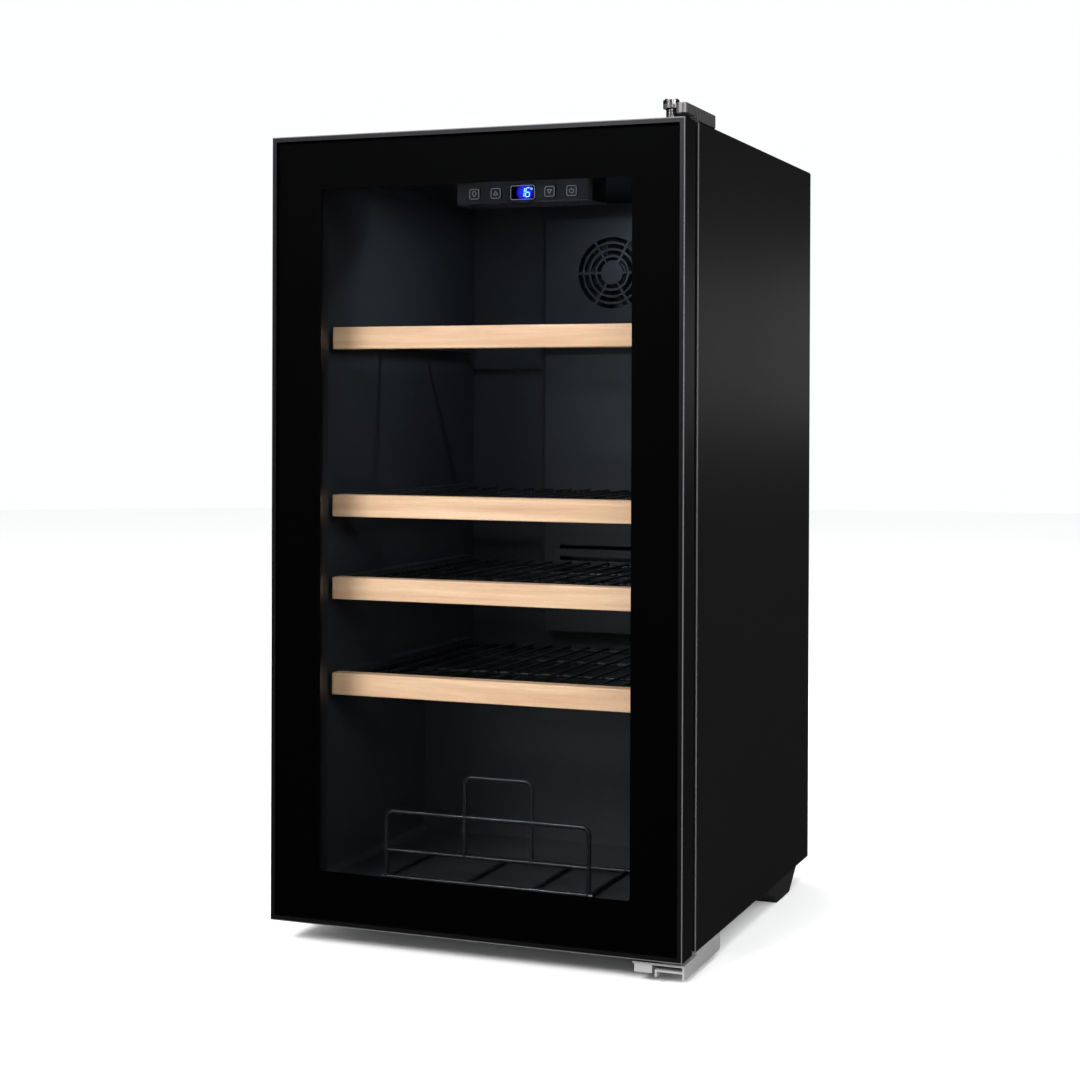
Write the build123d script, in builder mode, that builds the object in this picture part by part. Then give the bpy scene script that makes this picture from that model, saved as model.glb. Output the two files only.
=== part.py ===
"""Free-standing compressor wine cooler with a framed glass door, hinged on its right.

The origin is on the floor, under the middle of the cooler. X runs to the hinge side,
Y runs from the door to the back, and Z runs up. All sizes are in millimetres.
"""
from build123d import *
import os

# Overall sizes
width = 450.0               # cabinet and door, side to side
depth = 505.0               # front of the door to back of the cabinet
cabinet_height = 819.0      # underside to top of the cabinet
leg_height = 24.0           # floor to underside of the cabinet
door_drop = 2.0             # top of the cabinet above the door
door_depth = 38.5           # the frame, without the gasket
door_gap = 6.8              # door frame to cabinet, taken up by the gasket

# Cabinet walls
sheet = 0.8                 # painted steel
liner_sheet = 1.5           # moulded plastic
side_wall = 32.0
roof_wall = 34.0
floor_wall = 36.0
back_wall = 45.0
fold = 12.0                 # folded edge round the cabinet's mouth
wrap_bend = 3.0             # bend radius of the steel wrap
liner_bend = 8.0            # rounded corners of the moulded liner
back_inset = 2.5            # back panel behind the edge of the wrap
emboss = 1.2                # raised stiffening frames of the back panel
emboss_width = 14.0
emboss_margin = 60.0
bay_depth = 160.0           # machine bay under the liner's hump
bay_height = 160.0
hump_wall = 30.0            # foam between the bay and the liner

# Door
lip = 5.0                   # frame seen round the outer glass
glass_recess = 0.6
glass = 4.0
print_layer = 0.4           # black border on the back of the glass
border_radius = 3.0         # corners of the clear window
rail_width = 36.0           # how far the frame reaches in from the edge
rail_wall = 3.0
rail_front = 8.0            # front of the door to the hollow of a rail
spacer_gap = 4.0            # rail to the glazing spacer
spacer_width = 10.0
spacer_cover = 5.0          # black border past the spacer
inner_glass_gap = 2.0       # rail to the inner glass
glazing_gap = 15.0          # between the printed layer and the inner glass
retainer_edge = 20.0        # door edge to the inner frame
retainer_reach = 10.0       # inner frame past the rail
retainer = 4.0
retainer_foot = 6.0         # part of the inner frame that holds the glass
gasket_edge = 21.0
gasket_width = 10.0
gasket_clearance = 0.3
door_back_radius = 6.0      # lets the hinge corner turn past the cabinet
door_front_radius = 1.0
groove_depth = 9.0          # finger groove along the free side of the door
groove_back = 18.0          # front of the door to the groove
groove_width = 12.0
groove_margin = 60.0
key_leg = 48.0              # leg of a corner key inside the frame
corner_key = 9.5

# Hinges
hinge_edge = 20.0           # side of the door to the hinge axis
hinge_back = 19.0           # front of the door to the hinge axis
pin_radius = 4.0
pin_clearance = 0.1
pin_reach = 12.0            # pin into the door
pin_cap = 5.0
bushing_radius = 6.0
bushing_flange = 9.0
flange_height = 1.5
bushing_length = 14.0
top_gap = 11.0              # door to the eye of the top bracket
bottom_gap = 4.0            # door to the plate of the bottom bracket
lower_gap = 10.0            # door to the bottom bracket's lower shelf
eye_radius = 8.0
eye_height = 4.0
arm_height = 13.0           # top bracket above the cabinet
arm_width = 33.0
arm_back = 62.0             # top bracket behind the cabinet's front
arm_clearance = 5.0         # top bracket over the door
cheek_width = 12.0          # side of the top bracket beside the hinge pin
cheek_front = 14.0          # how far it reaches in front of the pin
foot_back = 86.0            # bottom bracket behind the cabinet's front
screw_radius = 2.5
screw_head = 4.5
screw_head_height = 3.0
screw_length = 14.0         # into the cabinet
socket_radius = 2.6         # hexagon recess in a hinge screw
socket_depth = 2.0
back_screw_head = 3.5
back_screw_radius = 1.9
back_screw_length = 9.0
back_screw_edge = 20.0
cross_width = 1.1           # cross recess in a back panel screw
cross_length = 4.4
cross_depth = 1.3

# Shelves: the top of each beech front above the cabinet's underside
shelf_levels = [621.5, 443.0, 355.0, 253.0]
front_height = 23.5
front_thickness = 18.0
front_set_back = 62.0       # front of the door to the beech front
front_clearance = 6.0       # end of a beech front to the liner
shelf_back = 37.5           # back of the shelf to the liner
deck_drop = 4.0             # wires below the top of the beech front
rod_radius = 2.5
wire_radius = 1.6
cross_radius = 2.1          # thinner cross wires of the shelves and of the rack
rod_bend = 9.0              # corners of the shelf's outer rod
wire_end = 1.4              # deck wire past the middle of the outer rod
weld = 0.6                  # how far crossing wires sink into each other
wire_count = 15
wire_margin = 12.5          # side rod to the first deck wire
rib_reach = 14.0            # shelf rib into the cabinet
rib_height = 5.0
rod_edge = 9.0              # liner to the middle of the side rod
rib_play = 0.3              # under a side rod
rib_headroom = 1.0          # over a side rod

# Control panel, lamp and fan
panel_width = 156.0
panel_drop = 29.5           # below the ceiling
panel_depth = 50.0
panel_set_back = 141.0      # front of the door to the panel's face
panel_wall = 2.0
key_width = 14.0
key_height = 13.6
key_lift = 10.8             # bottom of the panel to the middle of a key
key_places = {"light": -56.0, "up": -31.0, "down": 31.0, "power": 56.0}
key_clearance = 0.3
key_travel = 0.6
key_proud = 0.6
display_width = 30.0
display_height = 17.0
board = 1.6
lamp_width = 100.0          # short enough to hide behind the panel
lamp_count = 4
lamp_wall = 1.5
lamp_depth = 18.0
lamp_height = 6.0
duct_width = 180.0
duct_rise = 75.0            # hump to the foot of the duct cover
duct_depth = 30.0
duct_wall = 2.0
duct_drop = 20.0            # ceiling to the duct cover
fan_size = 92.0
fan_depth = 22.0
fan_wall = 3.0              # fan's edge to its bore
rotor_clearance = 3.0
grille_slot = 5.2
hub_radius = 17.0
blade_count = 7
blade_chord = 20.0
blade_pitch = 35.0          # degrees
blade_sheet = 1.6

# Bottle rack on the cabinet floor
rack_left = -125.0
rack_right = 103.0
rack_set_back = 72.0        # front of the door to the rack
rack_height = 72.0
rack_bar = 31.0             # middle bar above the floor of the cabinet
rack_hoop = 114.0
hoop_left = -35.0
hoop_right = 40.0
rack_length = 118.0
rack_bend = 8.0

# Feet and machinery
foot_edge = 55.0            # side of the cabinet to the middle of a front foot
foot_y = 105.0              # front of the door to the front feet
foot_radius = 15.0
foot_pad = 8.0
stud_radius = 4.9
nut_radius = 9.0
nut_height = 10.0
skid_width = 42.0
skid_length = 97.0
skid_back = 52.0            # back of the cabinet to the rear feet
compressor_x = 50.0
compressor_radius = 52.0
compressor_length = 60.0    # straight part between the rounded ends
compressor_height = 118.0
compressor_foot = 3.0       # sheet of its base
grommet_height = 12.0
grommet_radius = 9.0
grommet_neck = 5.0
drier_radius = 9.0
drier_length = 80.0
stub_heights = (30.0, 72.0)  # discharge and suction stubs above the compressor's base
tube_radius = 2.4
suction_radius = 3.2
capillary_radius = 1.4

# Places worked out from the sizes above
half = width / 2
door_front = -depth / 2
door_back = door_front + door_depth
cabinet_front = door_back + door_gap
cabinet_back = depth / 2
cabinet_bottom = leg_height
cabinet_top = leg_height + cabinet_height
door_bottom = cabinet_bottom
door_top = cabinet_top - door_drop
inner_half = half - side_wall
ceiling = cabinet_top - roof_wall
inner_floor = cabinet_bottom + floor_wall
inner_back = cabinet_back - back_wall
panel_back = cabinet_back - back_inset
bay_front = cabinet_back - bay_depth
bay_ceiling = cabinet_bottom + bay_height
hump_front = bay_front - hump_wall
hump_top = bay_ceiling + hump_wall
hinge_x = half - hinge_edge
hinge_y = door_front + hinge_back
seat = door_front + glass_recess + glass + print_layer
inner_glass_y = seat + glazing_gap
spacer_edge = rail_width + spacer_gap
border = spacer_edge + spacer_width + spacer_cover
inner_glass_edge = rail_width + inner_glass_gap
retainer_end = rail_width + retainer_reach
foot_x = half - foot_edge
retainer_y = door_back - retainer

os.makedirs("parts", exist_ok=True)


def finish(piece, name):
    """Label a piece and write it to its own file."""
    piece.label = name
    export_step(piece, f"parts/{name}.step")


def facing(y):
    """A plane that faces the front, at depth y."""
    return Plane.XZ.offset(-y)


def rect(left, right, low, high, mode=Mode.ADD):
    """Add a rectangle between limits to the current sketch."""
    with Locations(((left + right) / 2, (low + high) / 2)):
        Rectangle(right - left, high - low, mode=mode)


def block(x_limits, y_limits, z_limits, mode=Mode.ADD):
    """Add a box between limits to the current part."""
    middle = [(a + b) / 2 for a, b in (x_limits, y_limits, z_limits)]
    with Locations(tuple(middle)):
        Box(x_limits[1] - x_limits[0], y_limits[1] - y_limits[0], z_limits[1] - z_limits[0], mode=mode)


def rod(start, end, radius, mode=Mode.ADD):
    """Add a straight round rod between two points to the current part."""
    run = Vector(*end) - Vector(*start)
    with Locations(Plane(origin=start, z_dir=run)):
        Cylinder(radius, run.length, align=(Align.CENTER, Align.CENTER, Align.MIN), mode=mode)


def bent_rod(points, bend, radius, close=False):
    """Add a bent round rod through points to the current part."""
    with BuildLine() as route:
        FilletPolyline(*points, radius=bend, close=close)
    with BuildSketch(Plane(origin=route.line @ 0, z_dir=route.line % 0)) as section:
        Circle(radius)
    sweep(sections=section.sketch, path=route.line)


def door_ring(outer, inner, front, back, mode=Mode.ADD):
    """Add a rectangular ring, its edges measured in from the edges of the door."""
    with BuildSketch(facing(front)) as ring:
        rect(-half + outer, half - outer, door_bottom + outer, door_top - outer)
        rect(-half + inner, half - inner, door_bottom + inner, door_top - inner, mode=Mode.SUBTRACT)
    extrude(ring.sketch, amount=front - back, mode=mode)


# ---------------------------------------------------------------- screws and hinge pins
arm_screws = [(half - arm_width / 2, cabinet_front + y) for y in (14.0, 34.0, 52.0)]
foot_screws = [(half - arm_width / 2, cabinet_front + y) for y in (20.0, 48.0, 74.0)]
arm_top = cabinet_top + arm_height
foot_plate = door_bottom - bottom_gap
foot_sheet = 2.0

heads_low = foot_plate - foot_sheet - screw_head_height

with BuildPart() as hinge_screws:
    for x, y in arm_screws:
        rod((x, y, arm_top), (x, y, arm_top - screw_head_height), screw_head)
        rod((x, y, arm_top - screw_head_height), (x, y, cabinet_top - screw_length), screw_radius)
    for x, y in foot_screws:
        rod((x, y, heads_low), (x, y, foot_plate - foot_sheet), screw_head)
        rod((x, y, foot_plate - foot_sheet), (x, y, cabinet_bottom + screw_length), screw_radius)

with BuildPart() as socket_screws:
    add(hinge_screws.part)
    for places, height, depth in ((arm_screws, arm_top, -socket_depth),
                                  (foot_screws, heads_low, socket_depth)):
        with BuildSketch(Plane.XY.offset(height)):
            with Locations(*places):
                RegularPolygon(socket_radius, 6)
        extrude(amount=depth, mode=Mode.SUBTRACT)
finish(socket_screws.part, "hinge_screws")

eye_low = door_top + top_gap
with BuildPart() as top_hinge_pin:
    rod((hinge_x, hinge_y, door_top - pin_reach), (hinge_x, hinge_y, eye_low + eye_height), pin_radius)
    rod((hinge_x, hinge_y, door_top + flange_height + 1), (hinge_x, hinge_y, eye_low), pin_radius + 1)
    rod((hinge_x, hinge_y, eye_low + eye_height), (hinge_x, hinge_y, eye_low + eye_height + pin_cap),
        eye_radius)
    chamfer(top_hinge_pin.faces().sort_by(Axis.Z)[-1].edges(), 1)
finish(top_hinge_pin.part, "top_hinge_pin")

with BuildPart() as bottom_hinge_pin:
    rod((hinge_x, hinge_y, foot_plate - foot_sheet), (hinge_x, hinge_y, door_bottom + pin_reach), pin_radius)
    rod((hinge_x, hinge_y, foot_plate), (hinge_x, hinge_y, door_bottom - flange_height - pin_clearance),
        bushing_radius)
finish(bottom_hinge_pin.part, "bottom_hinge_pin")

with BuildPart() as hinge_bushings:
    for face, inward in ((door_top, -1), (door_bottom, 1)):
        rod((hinge_x, hinge_y, face), (hinge_x, hinge_y, face + inward * bushing_length), bushing_radius)
        rod((hinge_x, hinge_y, face - inward * flange_height), (hinge_x, hinge_y, face), bushing_flange)
        rod((hinge_x, hinge_y, face - inward * flange_height),
            (hinge_x, hinge_y, face + inward * bushing_length), pin_radius + pin_clearance, Mode.SUBTRACT)
finish(hinge_bushings.part, "hinge_bushings")

with BuildPart() as top_hinge_bracket:
    arm_left = half - arm_width
    with BuildSketch(Plane.XY.offset(eye_low)):
        rect(hinge_x - eye_radius, half, hinge_y, hinge_y + 10)
        with Locations((hinge_x, hinge_y)):
            Circle(eye_radius)
        with Locations((half - 6, hinge_y)):
            Circle(6)
        rect(hinge_x, half - 6, hinge_y - 6, hinge_y)
    extrude(amount=eye_height)
    block((hinge_x - eye_radius, half), (hinge_y + 9, cabinet_front + 0.1),
          (door_top + arm_clearance, eye_low + eye_height))
    with BuildSketch(Plane.XY.offset(door_top + arm_clearance)):
        with Locations((half - cheek_width / 2, (hinge_y - cheek_front + cabinet_front) / 2)):
            RectangleRounded(cheek_width, cabinet_front - hinge_y + cheek_front, cheek_width / 2 - 1)
    extrude(amount=eye_low + eye_height - door_top - arm_clearance)
    block((arm_left, half), (cabinet_front + 0.1, cabinet_front + arm_back), (cabinet_top, arm_top))
    fillet(top_hinge_bracket.edges().filter_by(Axis.Z).group_by(Axis.Y)[-1], 5)
    chamfer(top_hinge_bracket.faces().sort_by(Axis.Z)[-1].edges().group_by(Axis.X)[-1], 1)
    rod((hinge_x, hinge_y, eye_low), (hinge_x, hinge_y, arm_top), pin_radius, Mode.SUBTRACT)
    add(hinge_screws.part, mode=Mode.SUBTRACT)
finish(top_hinge_bracket.part, "top_hinge_bracket")

with BuildPart() as bottom_hinge_bracket:
    plate_low = foot_plate - foot_sheet
    flange_front = door_front + 8
    flange_back = cabinet_front + foot_back
    with BuildSketch(Plane.XY.offset(plate_low)):
        rect(half - 53, half, flange_front, door_back)
        rect(half - arm_width, half, flange_front, flange_back)
    extrude(amount=foot_sheet)
    block((half - arm_width, half), (cabinet_front + 5, flange_back), (foot_plate, cabinet_bottom))
    with BuildSketch(Plane.YZ.offset(half - foot_sheet)):
        rect(flange_front, flange_back, cabinet_bottom - 18, cabinet_bottom - 4)
    extrude(amount=foot_sheet)
    shelf_left, shelf_low = hinge_x - 10, door_bottom - lower_gap - foot_sheet
    block((shelf_left, half), (flange_front, door_back), (shelf_low, shelf_low + foot_sheet))
    block((shelf_left, shelf_left + foot_sheet), (flange_front, door_back), (shelf_low - 5, shelf_low))
    block((half - 51, half - 33), (flange_front, flange_front + 22), (door_bottom - 14, plate_low))
    fillet(bottom_hinge_bracket.edges().filter_by(Axis.X).group_by(Axis.Y)[-1].sort_by(Axis.Z)[0], 4)
    add(bottom_hinge_pin.part, mode=Mode.SUBTRACT)
    add(hinge_screws.part, mode=Mode.SUBTRACT)
finish(bottom_hinge_bracket.part, "bottom_hinge_bracket")

# ---------------------------------------------------------------- cabinet shell
with BuildPart() as outer_wrap:
    for inset, mode in ((0, Mode.ADD), (sheet, Mode.SUBTRACT)):
        with BuildSketch(facing(cabinet_front)) as outline:
            rect(-half + inset, half - inset, cabinet_bottom, cabinet_top - inset)
            fillet(outline.vertices().group_by(Axis.Y)[-1], wrap_bend - inset)
        extrude(amount=cabinet_front - cabinet_back, mode=mode)
    with BuildSketch(facing(cabinet_front)) as mouth:
        rect(-half, half, cabinet_bottom, cabinet_top)
        fillet(mouth.vertices().group_by(Axis.Y)[-1], wrap_bend)
        rect(-half + fold, half - fold, cabinet_bottom, cabinet_top - fold, mode=Mode.SUBTRACT)
    extrude(amount=-sheet)
    add(hinge_screws.part, mode=Mode.SUBTRACT)
finish(outer_wrap.part, "outer_wrap")

with BuildPart() as front_feet:
    for x in (-foot_x, foot_x):
        y = door_front + foot_y
        rod((x, y, 0), (x, y, foot_pad), foot_radius)
        rod((x, y, foot_pad), (x, y, cabinet_bottom + nut_height), stud_radius)
with BuildPart() as foot_sockets:
    for x in (-foot_x, foot_x):
        y = door_front + foot_y
        rod((x, y, cabinet_bottom + sheet), (x, y, cabinet_bottom + sheet + nut_height), nut_radius)
        rod((x, y, cabinet_bottom), (x, y, cabinet_bottom + nut_height + 5), stud_radius + pin_clearance,
            Mode.SUBTRACT)
finish(foot_sockets.part, "foot_sockets")
for side, foot in zip(("left", "right"), front_feet.solids().sort_by(Axis.X)):
    with BuildPart() as front_foot:
        add(foot)
        chamfer(front_foot.faces().sort_by(Axis.Z)[0].edges(), 1.5)
    finish(front_foot.part, f"front_foot_{side}")

pan_half = half - sheet
condenser_x = pan_half - tube_radius
condenser_back = panel_back - 20
with BuildPart() as base_pan:
    with BuildSketch(Plane.YZ) as pan_side:
        rect(cabinet_front, cabinet_front + sheet, cabinet_bottom, cabinet_bottom + fold)
        rect(cabinet_front, bay_front, cabinet_bottom, cabinet_bottom + sheet)
        rect(bay_front - sheet, bay_front, cabinet_bottom, bay_ceiling + sheet)
        rect(bay_front - sheet, panel_back, bay_ceiling, bay_ceiling + sheet)
    extrude(amount=half - fold, both=True)
    with BuildSketch(Plane.YZ) as pan_wings:
        rect(cabinet_front + sheet, bay_front, cabinet_bottom, cabinet_bottom + sheet)
        rect(bay_front - sheet, bay_front, cabinet_bottom, bay_ceiling + sheet)
        rect(bay_front - sheet, panel_back, bay_ceiling, bay_ceiling + sheet)
    extrude(amount=pan_half, both=True)
    for x in (-foot_x, foot_x):
        rod((x, door_front + foot_y, cabinet_bottom), (x, door_front + foot_y, cabinet_bottom + sheet),
            stud_radius + 0.6, Mode.SUBTRACT)
    for x in (-condenser_x, condenser_x):
        rod((x, condenser_back, bay_ceiling - 1), (x, condenser_back, bay_ceiling + 2), tube_radius + 0.2,
            Mode.SUBTRACT)
    add(hinge_screws.part, mode=Mode.SUBTRACT)
finish(base_pan.part, "base_pan")

back_screw_places = [(x, z) for z in (bay_ceiling + 12, (bay_ceiling + cabinet_top) / 2, cabinet_top - 12)
                     for x in (-half + back_screw_edge, half - back_screw_edge)]
with BuildPart() as back_screws:
    for x, z in back_screw_places:
        rod((x, panel_back, z), (x, panel_back + 2, z), back_screw_head)
        rod((x, panel_back - back_screw_length, z), (x, panel_back, z), back_screw_radius)

with BuildPart() as cross_screws:
    add(back_screws.part)
    with BuildSketch(facing(panel_back + 2)):
        with Locations(*back_screw_places):
            Rectangle(cross_length, cross_width)
            Rectangle(cross_width, cross_length)
    extrude(amount=cross_depth, mode=Mode.SUBTRACT)
finish(cross_screws.part, "back_screws")

with BuildPart() as back_panel:
    block((-pan_half, pan_half), (panel_back - sheet, panel_back),
          (bay_ceiling + sheet, cabinet_top - sheet))
    fillet(back_panel.edges().filter_by(Axis.Y).group_by(Axis.Z)[-1], wrap_bend - sheet)
    with BuildSketch(facing(panel_back)):
        for left, right in ((-half + emboss_margin, -emboss_width), (emboss_width, half - emboss_margin)):
            for inset, mode in ((0, Mode.ADD), (emboss_width, Mode.SUBTRACT)):
                rect(left + inset, right - inset, bay_ceiling + emboss_margin + inset,
                     cabinet_top - emboss_margin - inset, mode=mode)
    extrude(amount=-emboss)
    add(back_screws.part, mode=Mode.SUBTRACT)
finish(back_panel.part, "back_panel")


def storage_space(grow):
    """The storage space with rounded corners, enlarged by grow into the walls."""
    with BuildPart() as space:
        with BuildSketch(Plane.YZ):
            with BuildLine():
                Polyline(
                    (cabinet_front, inner_floor - grow),
                    (hump_front + grow, inner_floor - grow),
                    (hump_front + grow, hump_top - grow),
                    (inner_back + grow, hump_top - grow),
                    (inner_back + grow, ceiling + grow),
                    (cabinet_front, ceiling + grow),
                    close=True,
                )
            make_face()
        extrude(amount=inner_half + grow, both=True)
        fillet(space.edges().filter_by(Axis.Y), liner_bend + grow)
    return space.part


rod_drop = deck_drop + 2 * wire_radius + rod_radius - weld
rod_levels = [cabinet_bottom + level - rod_drop for level in shelf_levels]
board_back = door_front + front_set_back + front_thickness
shelf_end = inner_back - shelf_back
liner_outside = storage_space(liner_sheet)
with BuildPart() as inner_liner:
    add(liner_outside)
    add(storage_space(0), mode=Mode.SUBTRACT)
    with BuildSketch(facing(cabinet_front)):
        rect(-half + fold, half - fold, cabinet_bottom + fold, cabinet_top - fold)
        rect(-inner_half, inner_half, inner_floor, ceiling, mode=Mode.SUBTRACT)
    extrude(amount=-liner_sheet)
    for level in rod_levels:
        for low, high in (
            (level - rod_radius - rib_play - rib_height, level - rod_radius - rib_play),
            (level + rod_radius + rib_headroom, level + rod_radius + rib_headroom + rib_height),
        ):
            for side in (-1, 1):
                limits = sorted((side * (inner_half - rib_reach), side * inner_half))
                block(limits, (board_back + 6, shelf_end + 6), (low, high))
finish(inner_liner.part, "inner_liner")

# ---------------------------------------------------------------- cooling circuit
passes = 7
condenser_low, condenser_high = bay_ceiling + 60, cabinet_top - 59
condenser_pitch = (condenser_high - condenser_low) / (passes - 1)
condenser_rows = [condenser_low + step * condenser_pitch for step in range(passes)]
with BuildPart() as condenser_coil:
    for x in (-condenser_x, condenser_x):
        turns = [(x, condenser_back, bay_ceiling - 40)]
        for row, z in enumerate(condenser_rows):
            ends = (condenser_back, cabinet_front + 40)
            for y in (ends if row % 2 == 0 else ends[::-1]):
                turns.append((x, y, z))
        turns.append((x, cabinet_front + 40, condenser_rows[-1] + 20))
        bent_rod(turns, 9, tube_radius)
finish(condenser_coil.part, "condenser_coil")

evaporator_y = inner_back + liner_sheet
evaporator_low, evaporator_high = bay_ceiling + 70, ceiling - 140
evaporator_rows = 8
row_pitch = (evaporator_high - evaporator_low - 40) / (evaporator_rows - 1)
with BuildPart() as evaporator:
    block((-150, 150), (evaporator_y, evaporator_y + 1.5), (evaporator_low, evaporator_high))
    turns = []
    for row in range(evaporator_rows):
        z = evaporator_low + 20 + row * row_pitch
        ends = (-130, 130) if row % 2 == 0 else (130, -130)
        turns += [(x, evaporator_y + 3.5, z) for x in ends]
    bent_rod(turns, 15, tube_radius)
finish(evaporator.part, "evaporator")

with BuildPart() as insulation_foam:
    with BuildSketch(facing(cabinet_front + liner_sheet)) as foam_outline:
        rect(-pan_half, pan_half, cabinet_bottom + sheet, cabinet_top - sheet)
        fillet(foam_outline.vertices().group_by(Axis.Y)[-1], wrap_bend - sheet)
    extrude(amount=cabinet_front + liner_sheet - panel_back + sheet)
    block((-half, half), (bay_front - sheet, cabinet_back), (cabinet_bottom, bay_ceiling + sheet),
          Mode.SUBTRACT)
    for hidden in (liner_outside, condenser_coil.part, evaporator.part, hinge_screws.part, back_screws.part):
        add(hidden, mode=Mode.SUBTRACT)
    for x in (-foot_x, foot_x):
        y = door_front + foot_y
        rod((x, y, cabinet_bottom), (x, y, cabinet_bottom + nut_height + 6), nut_radius, Mode.SUBTRACT)
finish(insulation_foam.part, "insulation_foam")

tray_top = cabinet_bottom + 2
compressor_y = (bay_front + cabinet_back) / 2
shell_half = compressor_length / 2 + compressor_radius
grommet_x, grommet_y = shell_half - 12, compressor_radius - 10
grommet_places = [(compressor_x + x, compressor_y + y) for x in (-grommet_x, grommet_x)
                  for y in (-grommet_y, grommet_y)]
with BuildPart() as compressor_tray:
    block((-pan_half, pan_half), (bay_front + 8, panel_back - 4), (cabinet_bottom, tray_top))
    block((-pan_half, pan_half), (panel_back - 6, panel_back - 4), (cabinet_bottom, tray_top + 12))
    block((-pan_half, pan_half), (bay_front + 8, bay_front + 10), (cabinet_bottom, tray_top + 12))
finish(compressor_tray.part, "compressor_tray")

with BuildPart() as compressor_grommets:
    for x, y in grommet_places:
        rod((x, y, tray_top), (x, y, tray_top + grommet_height), grommet_radius)
        rod((x, y, tray_top + grommet_height), (x, y, tray_top + grommet_height + 4), grommet_neck)
        rod((x, y, tray_top + 4), (x, y, tray_top + 7), grommet_radius + 1)
finish(compressor_grommets.part, "compressor_grommets")

shell_low = tray_top + grommet_height
with BuildPart() as compressor:
    with BuildSketch(Plane.XY.offset(shell_low)):
        with Locations((compressor_x, compressor_y)):
            RectangleRounded(2 * grommet_x + 24, 2 * grommet_y + 24, 12)
        with Locations(*grommet_places):
            Circle(grommet_neck, mode=Mode.SUBTRACT)
    extrude(amount=compressor_foot)
    with BuildSketch(Plane.XY.offset(shell_low + compressor_foot)):
        with Locations((compressor_x, compressor_y)):
            SlotCenterToCenter(compressor_length, 2 * compressor_radius)
    extrude(amount=compressor_height - compressor_foot)
    fillet(compressor.faces().sort_by(Axis.Z)[-1].edges(), 34)
    with BuildSketch(Plane.XY.offset(shell_low + 52)):
        with Locations((compressor_x, compressor_y)):
            SlotCenterToCenter(compressor_length, 2 * compressor_radius + 6)
    extrude(amount=4)
    for height in stub_heights:
        rod((compressor_x - compressor_radius, compressor_y, shell_low + height),
            (compressor_x - shell_half - 14, compressor_y, shell_low + height), 4)
finish(compressor.part, "compressor")

relay_x = compressor_x + shell_half + 2
with BuildPart() as relay_cover:
    block((relay_x, relay_x + 28), (compressor_y - 26, compressor_y + 26), (shell_low + 14, shell_low + 72))
    fillet(relay_cover.edges().filter_by(Axis.Y), 3)
    block((relay_x - 14, relay_x + 6), (compressor_y - 20, compressor_y + 20),
          (shell_low + 20, shell_low + 50))
    add(compressor.part, mode=Mode.SUBTRACT)
finish(relay_cover.solids().sort_by(Axis.X)[-1], "relay_cover")

box_left, box_right = -half + 18, -half + 88
near = compressor_x - shell_half - 14
drier_x = (box_right + near - 24) / 2
drier_low = cabinet_bottom + 40
drier_high = drier_low + drier_length
with BuildPart() as filter_drier:
    rod((drier_x, compressor_y, drier_low), (drier_x, compressor_y, drier_high), drier_radius)
    fillet(filter_drier.edges().filter_by(GeomType.CIRCLE), 5)
    rod((drier_x, compressor_y, drier_low - 8), (drier_x, compressor_y, drier_high + 8), tube_radius)
finish(filter_drier.part, "filter_drier")

with BuildPart() as refrigerant_pipes:
    low, high = (shell_low + height for height in stub_heights)
    y = compressor_y
    bent_rod([(near, y, low), (near - 24, y, low), (near - 24, y, drier_low - 16),
              (drier_x, y, drier_low - 16), (drier_x, y, drier_low - 8)], 7, tube_radius)
    bent_rod([(near, y, high), (near - 16, y, high), (near - 16, y + 30, high),
              (near - 16, y + 30, bay_ceiling)], 7, suction_radius)
    bent_rod([(drier_x, y, drier_high + 8), (drier_x, y, drier_high + 20),
              (drier_x, y + 22, drier_high + 20), (drier_x, y + 22, bay_ceiling)], 5, capillary_radius)
finish(refrigerant_pipes.part, "refrigerant_pipes")

inlet_x, inlet_z = (box_left + box_right) / 2, cabinet_bottom + 62
socket_back = panel_back - 18
with BuildPart() as power_box:
    block((box_left, box_right), (socket_back - 70, socket_back), (tray_top, cabinet_bottom + 104))
    fillet(power_box.edges().filter_by(Axis.Z), 4)
    block((box_left + 2, box_right - 2), (socket_back - 68, socket_back - 2),
          (tray_top + 2, cabinet_bottom + 102), Mode.SUBTRACT)
    block((inlet_x - 15, inlet_x + 15), (socket_back - 3, socket_back + 1), (inlet_z - 11, inlet_z + 11),
          Mode.SUBTRACT)
finish(power_box.part, "power_box")

with BuildPart() as mains_inlet:
    block((inlet_x - 15, inlet_x + 15), (socket_back - 16, socket_back), (inlet_z - 11, inlet_z + 11))
    block((inlet_x - 25, inlet_x + 25), (socket_back, socket_back + 3), (inlet_z - 14, inlet_z + 14))
    block((inlet_x - 12, inlet_x + 12), (socket_back - 13, socket_back + 3), (inlet_z - 8, inlet_z + 8),
          Mode.SUBTRACT)
    for x, z in ((-7, -2), (0, 2), (7, -2)):
        block((inlet_x + x - 1, inlet_x + x + 1), (socket_back - 13, socket_back - 5),
              (inlet_z + z - 2, inlet_z + z + 2))
finish(mains_inlet.part, "mains_inlet")

tray_z = shell_low + compressor_height
with BuildPart() as drip_tray:
    block((compressor_x - 66, compressor_x + 66), (compressor_y - 44, compressor_y + 44),
          (tray_z, tray_z + 20))
    block((compressor_x - 64, compressor_x + 64), (compressor_y - 42, compressor_y + 42),
          (tray_z + 2, tray_z + 20), Mode.SUBTRACT)
finish(drip_tray.part, "drip_tray")

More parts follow.
